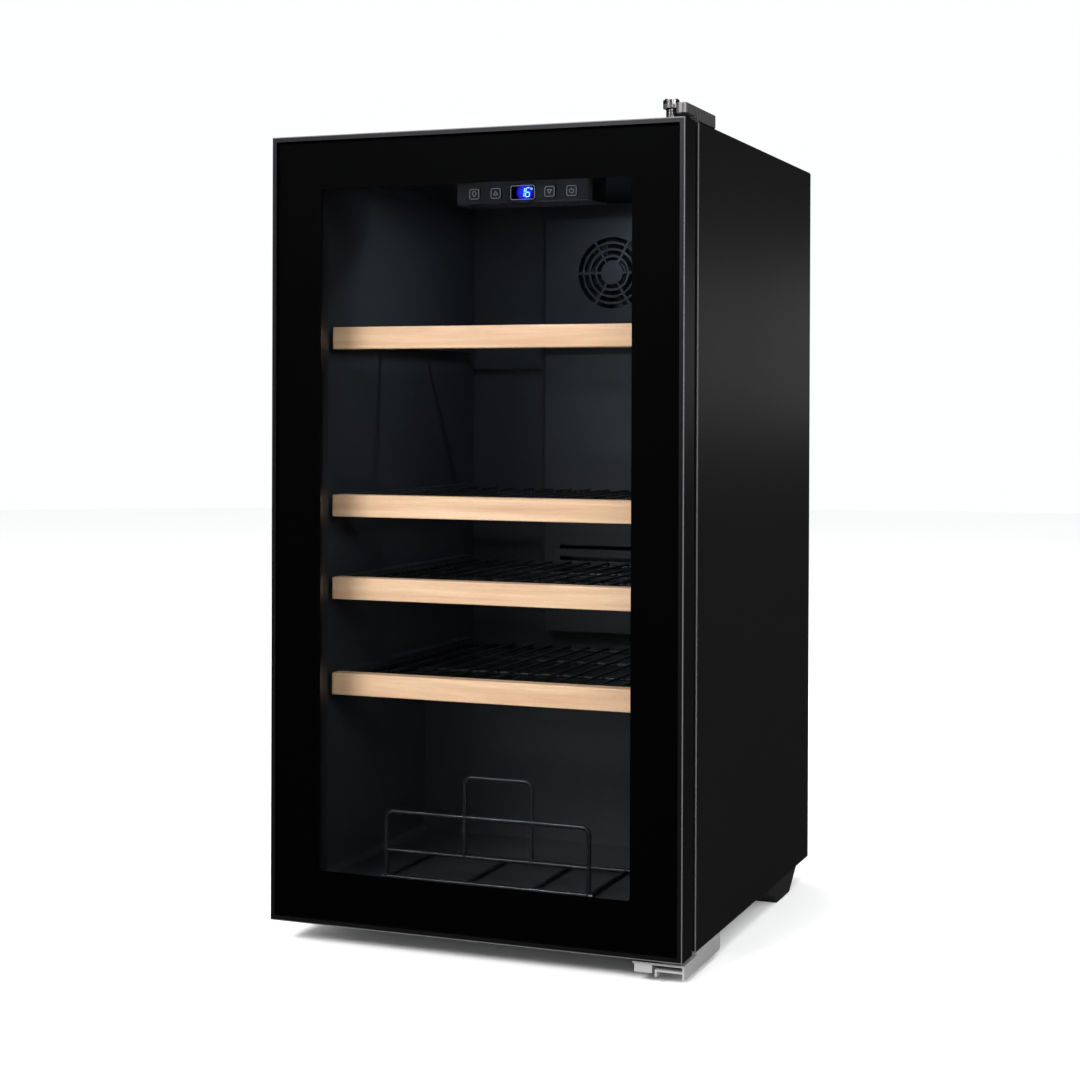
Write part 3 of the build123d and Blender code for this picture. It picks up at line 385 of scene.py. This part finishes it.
def enamel(name, tone):
    """Gloss enamel that has gathered a little dust on top."""
    paint = Paint(name, coat_roughness=0.08)
    _, _, height = paint.along()
    peel = paint.noise(260.0, 2.0)
    dust = paint.ramp(paint.noise(26.0, 6.0, 0.7), 0.42, 0.75) * paint.ramp(height, 0.06, 0.16)
    paint.set("Base Color", paint.mix(dust * 0.22, tone, (0.16, 0.15, 0.14)))
    paint.set("Roughness", 0.22 + dust * 0.4)
    paint.set("Coat Weight", 0.6 - dust * 0.5)
    paint.bump(peel, 0.00012)
    return paint.material


def soft_rubber(name, tone):
    """Matt rubber with a bloom along its folds."""
    paint = Paint(name, specular_ior_level=0.35)
    bloom = paint.noise(35.0, 4.0, 0.6)
    paint.set("Base Color", paint.mix(bloom, tone, shade(tone, 2.2)))
    paint.set("Roughness", 0.62 + (bloom - 0.5) * 0.2)
    paint.bump(paint.noise(900.0, 2.0), 0.00003)
    return paint.material


def foam_fill(name, tone):
    """Rigid foam with a skin of small bubbles."""
    paint = Paint(name, specular_ior_level=0.2, roughness=0.85)
    bubbles = paint.cells(520.0)
    paint.set("Base Color", paint.mix(paint.noise(20.0, 4.0), shade(tone, 0.8), tone))
    paint.bump(bubbles, 0.0004)
    return paint.material


def beech(name, pale, deep):
    """Fine sanded beech: broad bands, close grain along X, and short dark flecks."""
    paint = Paint(name, specular_ior_level=0.35)
    bands = paint.noise(1.0, 3.0, 0.5, (4, 60, 95), 0.6)
    grain = paint.noise(1.0, 5.0, 0.65, (14, 420, 620))
    fleck_field = paint.noise(1.0, 1.0, 0.5, (330, 1300, 1900))
    flecks = paint.ramp(fleck_field, 0.66, 0.74)
    lengths, _, _ = paint.along()
    ends = paint.ramp(abs(lengths), 0.1835, 0.187)
    tone = paint.mix(paint.ramp(bands, 0.30, 0.70), deep, pale)
    tone = paint.mix(paint.ramp(grain, 0.42, 0.78) * 0.42, tone, shade(deep, 0.72))
    tone = paint.mix(flecks * 0.55, tone, shade(deep, 0.45))
    tone = paint.mix(ends * 0.4, tone, shade(deep, 0.6))
    paint.set("Base Color", tone)
    paint.set("Roughness", 0.46 + (grain - 0.5) * 0.18)
    paint.bump(grain - flecks * 0.5, 0.00008)
    return paint.material


def clear_glass(name, tint, facing=1.12):
    """A pane seen by what it lets through and by a weak, sharp reflection."""
    paint = Paint(name)
    smear = paint.noise(7.0, 4.0, 0.6)
    through = paint.node("ShaderNodeBsdfTransparent", None, {"Color": (*tint[:3], 1)})["BSDF"]
    shine = paint.node("ShaderNodeBsdfGlossy", None, {"Roughness": 0.02})["BSDF"]
    edge = paint.node("ShaderNodeFresnel", None, {"IOR": facing})["Fac"]
    both = paint.node("ShaderNodeMixShader", None, {0: edge * (0.9 + smear * 0.2), 1: through, 2: shine})
    paint.tree.links.new(both[0].socket, paint.end.inputs["Surface"])
    paint.tree.nodes.remove(paint.surface)
    return paint.material


def fired_border(name):
    """Black enamel fired on the back of the glass."""
    paint = Paint(name, specular_ior_level=0.02)
    pits = paint.noise(700.0, 3.0)
    paint.set("Base Color", paint.mix(pits, (0.0001, 0.0001, 0.0001), (0.0003, 0.0003, 0.0003)))
    paint.set("Roughness", 0.5 + (pits - 0.5) * 0.1)
    paint.bump(pits, 0.00001)
    return paint.material


def circuit_board(name):
    """Green solder mask with pale tracks."""
    paint = Paint(name, coat_weight=0.4, coat_roughness=0.2)
    tracks = paint.ramp(paint.cells(260.0, "DISTANCE_TO_EDGE"), 0.03, 0.05)
    paint.set("Base Color", paint.mix(tracks, (0.10, 0.30, 0.12), (0.012, 0.10, 0.035)))
    paint.set("Roughness", 0.35 + tracks * 0.1)
    paint.bump(tracks, 0.00003)
    return paint.material


def lit_window(name, middle, reach, glow, strength):
    """Smoked display window with a glow round its digits."""
    paint = Paint(name, specular_ior_level=0.5, roughness=0.08, emission_strength=strength)
    across, _, up = paint.along()
    far = ((across - middle[0]) / reach) ** 2 + ((up - middle[1]) / (reach * 0.9)) ** 2
    halo = paint.ramp(far, 1.15, 0.05)
    matrix = paint.ramp(paint.noise(900.0, 1.0), 0.3, 0.7)
    paint.set("Base Color", paint.mix(halo * 0.3, (0.006, 0.006, 0.008), (0.01, 0.01, 0.05)))
    paint.set("Emission Color", paint.mix(halo * (0.75 + matrix * 0.25), (0, 0, 0), glow))
    return paint.material


def lit_mark(name, tone, strength):
    """Printed or lit marking with a soft inner variation."""
    paint = Paint(name, roughness=0.4, emission_strength=strength)
    wear = paint.noise(800.0, 2.0)
    paint.set("Base Color", paint.mix(wear, shade(tone, 0.7), tone))
    paint.set("Emission Color", paint.mix(wear, shade(tone, 0.85), tone))
    return paint.material


def frosted_lamp(name, strength, first, pitch):
    """Frosted cover over a row of small lamps, the first one at -first on X."""
    paint = Paint(name, roughness=0.35, emission_strength=strength)
    across, _, _ = paint.along()
    dots = paint.node("ShaderNodeMath", {"operation": "PINGPONG"}, {0: across + first, 1: pitch / 2})[0]
    bright = 1 - paint.ramp(dots, 0.0, pitch / 2) * 0.65
    paint.set("Base Color", (0.85, 0.88, 0.92))
    paint.set("Emission Color", paint.mix(bright, (0.10, 0.16, 0.30), (0.72, 0.84, 1.0)))
    return paint.material


def finish_nodes(names, material):
    """Give the named pieces of the frame a finish."""
    for name in names.split():
        for place in frame["nodes"][name].material_slots:
            place.material = material


# ------------------------------------------------------------------ mesh making
def add_piece(name, mesh, material, body, replaced=()):
    """Turn a finished bmesh into a piece that moves with a body of the frame."""
    bmesh.ops.recalc_face_normals(mesh, faces=mesh.faces)
    data = bpy.data.meshes.new(name)
    mesh.to_mesh(data)
    mesh.free()
    data.materials.append(material)
    piece = bpy.data.objects.new(name, data)
    bpy.context.scene.collection.objects.link(piece)
    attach(piece, body)
    if replaced:
        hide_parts(*replaced)
    return piece


def bridge(mesh, rings, closed):
    """Join rings of points, each with the same count, into one closed skin."""
    count = len(rings[0])
    pairs = list(zip(rings, rings[1:] + rings[:1] if closed else rings[1:]))
    for first, second in pairs:
        for step in range(count):
            after = (step + 1) % count
            mesh.faces.new((first[step], first[after], second[after], second[step]))
    if not closed:
        mesh.faces.new(rings[0])
        mesh.faces.new(rings[-1][::-1])


def ribbon(mesh, points, width, front, lift, closed=False):
    """Add a flat line of even width through X-Z points, which stands off the depth front by lift."""
    spots = [Vector(point) for point in points]
    rings = []
    for step, spot in enumerate(spots):
        runs = []
        if closed or step:
            runs.append((spot - spots[step - 1]).normalized())
        if closed or step < len(spots) - 1:
            runs.append((spots[(step + 1) % len(spots)] - spot).normalized())
        along = sum(runs, Vector((0, 0))).normalized()
        across = Vector((-along.y, along.x)) * (width / 2 / max(0.35, along.dot(runs[0])))
        left, right = spot + across, spot - across
        rings.append([mesh.verts.new((side.x, depth, side.y)) for side, depth in (
            (left, front), (right, front), (right, front - lift), (left, front - lift))])
    bridge(mesh, rings, closed)


def plate(mesh, outline, front, lift):
    """Add a flat plate with an X-Z outline, which stands off the depth front by lift."""
    bridge(mesh, [[mesh.verts.new((x, depth, z)) for x, z in outline] for depth in (front, front - lift)],
           False)


def arc(middle, radius, start, end, steps=18):
    """X-Z points along an arc, its angles in degrees."""
    turns = [math.radians(start + (end - start) * step / steps) for step in range(steps + 1)]
    return [(middle[0] + radius * math.cos(turn), middle[1] + radius * math.sin(turn)) for turn in turns]


def rounded_box(middle, width, height, radius):
    """X-Z points round a rectangle with rounded corners."""
    points = []
    for right, up, start in ((1, 1, 0), (-1, 1, 90), (-1, -1, 180), (1, -1, 270)):
        corner = (middle[0] + right * (width / 2 - radius), middle[1] + up * (height / 2 - radius))
        points += arc(corner, radius, start, start + 90, 6)
    return points


def rounded_off(points, rounds=2):
    """A closed outline with its corners cut until they look round."""
    for _ in range(rounds):
        points = [share for here, there in zip(points, points[1:] + points[:1]) for share in (
            (here[0] * 0.75 + there[0] * 0.25, here[1] * 0.75 + there[1] * 0.25),
            (here[0] * 0.25 + there[0] * 0.75, here[1] * 0.25 + there[1] * 0.75))]
    return points


def middle_of(node):
    """The middle of a piece of the frame."""
    low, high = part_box(node)
    return (low + high) / 2


# ------------------------------------------------------------------ operators
class COOLER_OT_cabinet(bpy.types.Operator):
    """Finish the steel cabinet, its feet and its foam"""

    bl_idname = "cooler.cabinet"
    bl_label = "Cabinet"

    def execute(self, context):
        finishes = context.scene.cooler_finishes
        # the coat carries a painted highlight round the wrap's front edge
        finish_nodes("outer_wrap", powder_coat("cabinet_coat", finishes.cabinet, highlight_box=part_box("outer_wrap")))
        finish_nodes("back_panel base_pan compressor_tray",
                     zinc_sheet("galvanised_sheet", (0.30, 0.305, 0.31)))
        finish_nodes("back_screws hinge_screws foot_sockets",
                     polished_metal("zinc_plate", (0.70, 0.70, 0.69), 0.2))
        finish_nodes("insulation_foam", foam_fill("rigid_foam", (0.80, 0.68, 0.42)))
        finish_nodes("rear_feet front_foot_left front_foot_right",
                     moulded_plastic("foot_plastic", finishes.plastic, 0.55, 900.0))
        return {"FINISHED"}


class COOLER_OT_interior(bpy.types.Operator):
    """Finish the liner, the air duct, its fan and the temperature sensor"""

    bl_idname = "cooler.interior"
    bl_label = "Interior"

    def execute(self, context):
        finishes = context.scene.cooler_finishes
        finish_nodes("inner_liner duct_cover", moulded_plastic("liner_plastic", finishes.liner, 0.42))
        fittings = moulded_plastic("fitting_plastic", finishes.plastic, 0.48, 1100.0)
        finish_nodes("fan_frame fan_rotor temperature_sensor", fittings)
        finish_nodes("evaporator", brushed_metal("evaporator_sheet", (0.66, 0.67, 0.69), 0.36, (1, 8, 60)))
        return {"FINISHED"}


class COOLER_OT_machinery(bpy.types.Operator):
    """Finish the compressor, its pipes and the mains parts"""

    bl_idname = "cooler.machinery"
    bl_label = "Machinery"

    def execute(self, context):
        finishes = context.scene.cooler_finishes
        finish_nodes("compressor", enamel("compressor_enamel", (0.016, 0.016, 0.017)))
        finish_nodes("compressor_grommets", soft_rubber("grommet_rubber", (0.018, 0.018, 0.018)))
        finish_nodes("filter_drier refrigerant_pipes condenser_coil",
                     copper_tube("drawn_copper", (0.86, 0.42, 0.26)))
        finish_nodes("relay_cover drip_tray power_box mains_inlet",
                     moulded_plastic("machine_plastic", finishes.plastic, 0.5, 800.0))
        return {"FINISHED"}


class COOLER_OT_hinges(bpy.types.Operator):
    """Finish the two hinges"""

    bl_idname = "cooler.hinges"
    bl_label = "Hinges"

    def execute(self, context):
        finish_nodes("top_hinge_bracket", polished_metal("dark_nickel", (0.135, 0.13, 0.13), 0.24, 0.7))
        finish_nodes("top_hinge_pin", polished_metal("dark_chrome", (0.30, 0.30, 0.31), 0.16))
        finish_nodes("bottom_hinge_bracket bottom_hinge_pin",
                     brushed_metal("satin_steel", (0.36, 0.36, 0.362), 0.28, (40, 3, 40), metallic=0.35))
        finish_nodes("hinge_bushings", moulded_plastic("natural_nylon", (0.74, 0.73, 0.68), 0.4, 600.0))
        return {"FINISHED"}


class COOLER_OT_door(bpy.types.Operator):
    """Finish the door's frame and its glazing"""

    bl_idname = "cooler.door"
    bl_label = "Door"

    def execute(self, context):
        finishes = context.scene.cooler_finishes
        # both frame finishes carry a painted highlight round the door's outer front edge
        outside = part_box("door_stile_left")[0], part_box("door_stile_right")[1]
        tones = finishes.frame, finishes.painted_edge_highlight
        upright = anodised_frame("upright_anodised", *tones, (40, 40, 1), outside)
        level = anodised_frame("level_anodised", *tones, (1, 40, 40), outside)
        finish_nodes("door_stile_left door_stile_right", upright)
        finish_nodes("door_rail_top door_rail_bottom", level)
        finish_nodes("outer_glass", clear_glass("outer_pane", finishes.glass_tint))
        finish_nodes("inner_glass", clear_glass("inner_pane", shade(finishes.glass_tint, 1.06), 1.08))
        finish_nodes("glass_border", fired_border("fired_enamel"))
        finish_nodes("glass_spacer corner_keys",
                     brushed_metal("mill_aluminium", (0.06, 0.06, 0.065), 0.4, (9, 9, 1)))
        finish_nodes("door_inner_frame",
                     moulded_plastic("inner_frame_plastic", finishes.plastic, 0.5, 1000.0))
        return {"FINISHED"}


class COOLER_OT_seal(bpy.types.Operator):
    """Build the folded magnetic seal round the back of the door"""

    bl_idname = "cooler.seal"
    bl_label = "Door seal"

    def execute(self, context):
        details = context.scene.cooler_details
        folds, width = details.seal_folds, details.seal_width
        low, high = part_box("door_gasket")
        middle = (low + high) / 2
        reach = (high.x - low.x) / 2
        rise = (high.z - low.z) / 2
        depth = high.y - low.y
        side = [(0.30, 0.0), (0.30, 0.10)]
        for fold in range(folds):
            start = 0.14 + fold * 0.34 / folds
            side += [(0.46, start + 0.11 / folds), (0.24, start + 0.28 / folds)]
        side += [(0.50, 0.56), (0.50, 0.96), (0.44, 1.0)]
        outline = rounded_off(side + [(-across, along) for across, along in reversed(side)])
        mesh = bmesh.new()
        rings = []
        for right, up in ((-1, -1), (1, -1), (1, 1), (-1, 1)):
            ring = []
            for across, along in outline:
                inward = width * (0.5 - across)
                ring.append(mesh.verts.new((middle.x + right * (reach - inward), low.y + along * depth,
                                            middle.z + up * (rise - inward))))
            rings.append(ring)
        bridge(mesh, rings, True)
        rubber = soft_rubber("seal_rubber", (0.014, 0.014, 0.014))
        add_piece("door_seal", mesh, rubber, "door", ["door_gasket"])
        finish_nodes("door_gasket", rubber)
        return {"FINISHED"}


class COOLER_OT_shelves(bpy.types.Operator):
    """Finish the sliding shelves"""

    bl_idname = "cooler.shelves"
    bl_label = "Shelves"

    def execute(self, context):
        finishes = context.scene.cooler_finishes
        wire = powder_coat("shelf_wire_coat", finishes.wire, 0.28)
        wood = beech("fine_beech", finishes.beech_pale, finishes.beech_deep)
        for number in range(1, 5):
            finish_nodes(f"shelf_{number}_wire", wire)
            finish_nodes(f"shelf_{number}_front", wood)
        return {"FINISHED"}


class COOLER_OT_rack(bpy.types.Operator):
    """Finish the bottle rack on the cabinet floor"""

    bl_idname = "cooler.rack"
    bl_label = "Bottle rack"

    def execute(self, context):
        finish_nodes("bottle_rack", powder_coat("rack_wire_coat", context.scene.cooler_finishes.wire, 0.24))
        return {"FINISHED"}


class COOLER_OT_panel(bpy.types.Operator):
    """Finish the control panel and build its key markings"""

    bl_idname = "cooler.panel"
    bl_label = "Control panel"

    def execute(self, context):
        details = context.scene.cooler_details
        housing = gloss_plastic("panel_gloss", (0.034, 0.035, 0.041), 0.16)
        finish_nodes("control_housing key_light key_up key_down key_power", housing)
        finish_nodes("control_board lamp_board", circuit_board("solder_mask"))
        ink = lit_mark("key_ink", INK, INK_LIGHT)
        height = middle_of("display_lens").z
        unit = MILLIMETRE
        signs = {
            "light": [(arc((0, 0.9), 2.1, -58, 238), False), ([(-1.1, -1.6), (1.1, -1.6)], False),
                      ([(-0.7, -2.5), (0.7, -2.5)], False)],
            "up": [([(-2.4, -1.7), (0, 2.3), (2.4, -1.7)], True)],
            "down": [([(-2.4, 1.7), (2.4, 1.7), (0, -2.3)], True)],
            "power": [(arc((0, -0.2), 2.4, 125, 415), False), ([(0, 0.6), (0, 3.0)], False)],
        }
        for name, lines in signs.items():
            key = f"key_{name}"
            across, front = middle_of(key).x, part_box(key)[0].y
            mesh = bmesh.new()
            lines = [(rounded_box((0, 0), 10.6, 10.4, 1.8), True)] + lines
            for points, closed in lines:
                ribbon(mesh, [(across + x * unit, height + z * unit) for x, z in points], details.mark_width,
                       front, details.mark_lift, closed)
            add_piece(f"{key}_marking", mesh, ink, key)
        return {"FINISHED"}


class COOLER_OT_display(bpy.types.Operator):
    """Build the temperature display with its outline and lit digits"""

    bl_idname = "cooler.display"
    bl_label = "Display"

    def execute(self, context):
        finishes, details = context.scene.cooler_finishes, context.scene.cooler_details
        middle, front = middle_of("display_lens"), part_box("display_lens")[0].y
        shown = (middle.x + 2.8 * MILLIMETRE, middle.z)
        finish_nodes("display_lens", lit_window("display_window", shown, 0.0098, finishes.glow, 1.6))
        mesh = bmesh.new()
        ribbon(mesh, rounded_box((middle.x, middle.z), 0.0276, 0.0148, 0.0024), details.mark_width, front,
               details.mark_lift, True)
        add_piece("display_outline", mesh, lit_mark("display_ink", INK, INK_LIGHT), "cabinet")

        tall, wide, thick, lean = details.digit_height, details.digit_height * 0.46, 0.0010, 0.10
        strokes = {"a": ((0, 2), (1, 2)), "b": ((1, 2), (1, 1)), "c": ((1, 1), (1, 0)), "d": ((0, 0), (1, 0)),
                   "e": ((0, 1), (0, 0)), "f": ((0, 2), (0, 1)), "g": ((0, 1), (1, 1))}
        mesh = bmesh.new()
        for place, lit in ((-0.5, "bc"), (0.5, "acdefg")):
            for stroke in lit:
                start, end = [Vector(((x - 0.5) * wide, (z - 1) * tall / 2)) for x, z in strokes[stroke]]
                run = (end - start).normalized()
                across = Vector((-run.y, run.x)) * thick / 2
                start, end = start + run * thick * 0.2, end - run * thick * 0.2
                outline = [start, start + run * thick / 2 + across, end - run * thick / 2 + across, end,
                           end - run * thick / 2 - across, start + run * thick / 2 - across]
                left = shown[0] + place * details.digit_gap
                plate(mesh, [(left + spot.x + spot.y * lean, shown[1] + spot.y) for spot in outline], front,
                      details.mark_lift)
        degree = (shown[0] + 1.2 * details.digit_gap, shown[1] + tall * 0.38)
        ribbon(mesh, arc(degree, 0.0009, 0, 342, 19), 0.0005, front, details.mark_lift, True)
        add_piece("display_digits", mesh, lit_mark("lit_segments", finishes.digits, 3.2), "cabinet")
        return {"FINISHED"}


class COOLER_OT_lamp(bpy.types.Operator):
    """Light the lamp under the ceiling"""

    bl_idname = "cooler.lamp"
    bl_label = "Lamp"

    def execute(self, context):
        strength = context.scene.cooler_studio.lamp_strength
        low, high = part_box("lamp_lens")
        details = context.scene.cooler_details
        first = high.x - details.lamp_end
        pitch = first * 2 / (details.lamp_count - 1)
        finish_nodes("lamp_lens", frosted_lamp("frosted_cover", strength, first, pitch))
        beam = bpy.data.lights.new("lamp_beam", "AREA")
        beam.shape = "RECTANGLE"
        beam.size, beam.size_y = high.x - low.x, high.y - low.y
        beam.energy = strength * 0.09
        beam.color = (0.72, 0.84, 1.0)
        beam_place = bpy.data.objects.new("lamp_beam", beam)
        beam_place.location = ((low.x + high.x) / 2, (low.y + high.y) / 2, low.z - MILLIMETRE)
        context.scene.collection.objects.link(beam_place)
        return {"FINISHED"}


class COOLER_OT_studio(bpy.types.Operator):
    """Lay the floor, hang the softboxes and place the camera"""

    bl_idname = "cooler.studio"
    bl_label = "Studio"

    def execute(self, context):
        studio = context.scene.cooler_studio
        mesh = bmesh.new()
        bmesh.ops.create_circle(mesh, cap_ends=True, segments=96, radius=studio.floor_radius)
        data = bpy.data.meshes.new("floor")
        mesh.to_mesh(data)
        mesh.free()
        paint = Paint("floor_paint", specular_ior_level=0.1)
        cloud = paint.noise(0.6, 2.0)
        paint.set("Base Color", paint.mix(cloud, shade(studio.floor, 0.985), studio.floor))
        paint.set("Roughness", 0.75 + cloud * 0.1)
        data.materials.append(paint.material)
        floor = bpy.data.objects.new("floor", data)
        floor.visible_glossy = False
        context.scene.collection.objects.link(floor)

        world = bpy.data.worlds.new("studio_sky")
        world.use_nodes = True
        context.scene.world = world
        tree = world.node_tree
        sky = tree.nodes["Background"]
        sky.inputs["Color"].default_value = (*studio.sky, 1)
        ray = tree.nodes.new("ShaderNodeLightPath")
        share = tree.nodes.new("ShaderNodeMapRange")
        share.inputs["To Min"].default_value = studio.sky_strength
        share.inputs["To Max"].default_value = studio.sky_strength * studio.mirrored_sky
        tree.links.new(ray.outputs["Is Glossy Ray"], share.inputs["Value"])
        tree.links.new(share.outputs[0], sky.inputs["Strength"])

        for name, place, aim, size, power in (
            ("key_softbox", (-1.1, -3.5, 2.5), (0, -0.25, 0.45), (1.6, 1.2), studio.key_power),
            ("fill_softbox", (2.6, -3.0, 2.2), (0, -0.25, 0.45), (1.4, 1.4), studio.fill_power),
            ("edge_softbox", (3.1, -1.3, 0.9), (0.2, -0.2, 0.45), (0.4, 2.0), studio.edge_power),
            ("side_softbox", (1.55, 4.6, 0.78), (0.2, 0, 0.62), (2.4, 0.55), studio.side_power),
            ("rear_softbox", (-1.6, 3.2, 2.4), (0, 0.25, 0.4), (1.2, 1.2), studio.rear_power),
            ("top_softbox", (0, 0, 3.2), (0, 0, 0), (2.2, 2.2), studio.top_power),
        ):
            box = bpy.data.lights.new(name, "AREA")
            box.shape = "RECTANGLE"
            box.size, box.size_y = size
            box.energy = power
            lamp = bpy.data.objects.new(name, box)
            lamp.location = place
            lamp.rotation_euler = (Vector(aim) - Vector(place)).to_track_quat("-Z", "Y").to_euler()
            lamp.visible_camera = False
            context.scene.collection.objects.link(lamp)

        lens = bpy.data.cameras.new("camera")
        lens.lens = studio.lens
        lens.shift_y = studio.shift
        camera = bpy.data.objects.new("camera", lens)
        level = Euler((math.radians(90) - studio.drop, 0, studio.heading)).to_matrix()
        camera.matrix_world = Matrix.Translation(studio.camera_place) @ (
            level @ Matrix.Rotation(studio.roll, 3, "Z")).to_4x4()
        context.scene.collection.objects.link(camera)
        context.scene.camera = camera
        context.scene.view_settings.view_transform = "Standard"
        return {"FINISHED"}


OPERATORS = (COOLER_OT_cabinet, COOLER_OT_interior, COOLER_OT_machinery, COOLER_OT_hinges, COOLER_OT_door,
             COOLER_OT_seal, COOLER_OT_shelves, COOLER_OT_rack, COOLER_OT_panel, COOLER_OT_display,
             COOLER_OT_lamp, COOLER_OT_studio)


class COOLER_PT_tools(bpy.types.Panel):
    """The cooler's settings and the steps that build it."""

    bl_idname = "COOLER_PT_tools"
    bl_label = "Wine cooler"
    bl_space_type = "VIEW_3D"
    bl_region_type = "UI"
    bl_category = "Wine cooler"

    def draw(self, context):
        scene = context.scene
        for settings in (scene.cooler_finishes, scene.cooler_details, scene.cooler_studio):
            box = self.layout.box()
            for name in settings.bl_rna.properties.keys():
                if name not in ("rna_type", "name"):
                    box.prop(settings, name)
        for operator in OPERATORS:
            self.layout.operator(operator.bl_idname)


CLASSES = (CoolerFinishes, CoolerDetails, CoolerStudio, *OPERATORS, COOLER_PT_tools)


def register():
    """Add the cooler's settings, operators and panel to Blender."""
    for kind in CLASSES:
        bpy.utils.register_class(kind)
    bpy.types.Scene.cooler_finishes = PointerProperty(type=CoolerFinishes)
    bpy.types.Scene.cooler_details = PointerProperty(type=CoolerDetails)
    bpy.types.Scene.cooler_studio = PointerProperty(type=CoolerStudio)


def unregister():
    """Take them out again."""
    del bpy.types.Scene.cooler_studio
    del bpy.types.Scene.cooler_details
    del bpy.types.Scene.cooler_finishes
    for kind in reversed(CLASSES):
        bpy.utils.unregister_class(kind)


def main():
    """Build the cooler's looks."""
    register()
    for operator in OPERATORS:
        group, name = operator.bl_idname.split(".")
        if getattr(getattr(bpy.ops, group), name)() != {"FINISHED"}:
            raise RuntimeError(f"{operator.bl_label} could not finish")


if __name__ == "__main__":
    main()
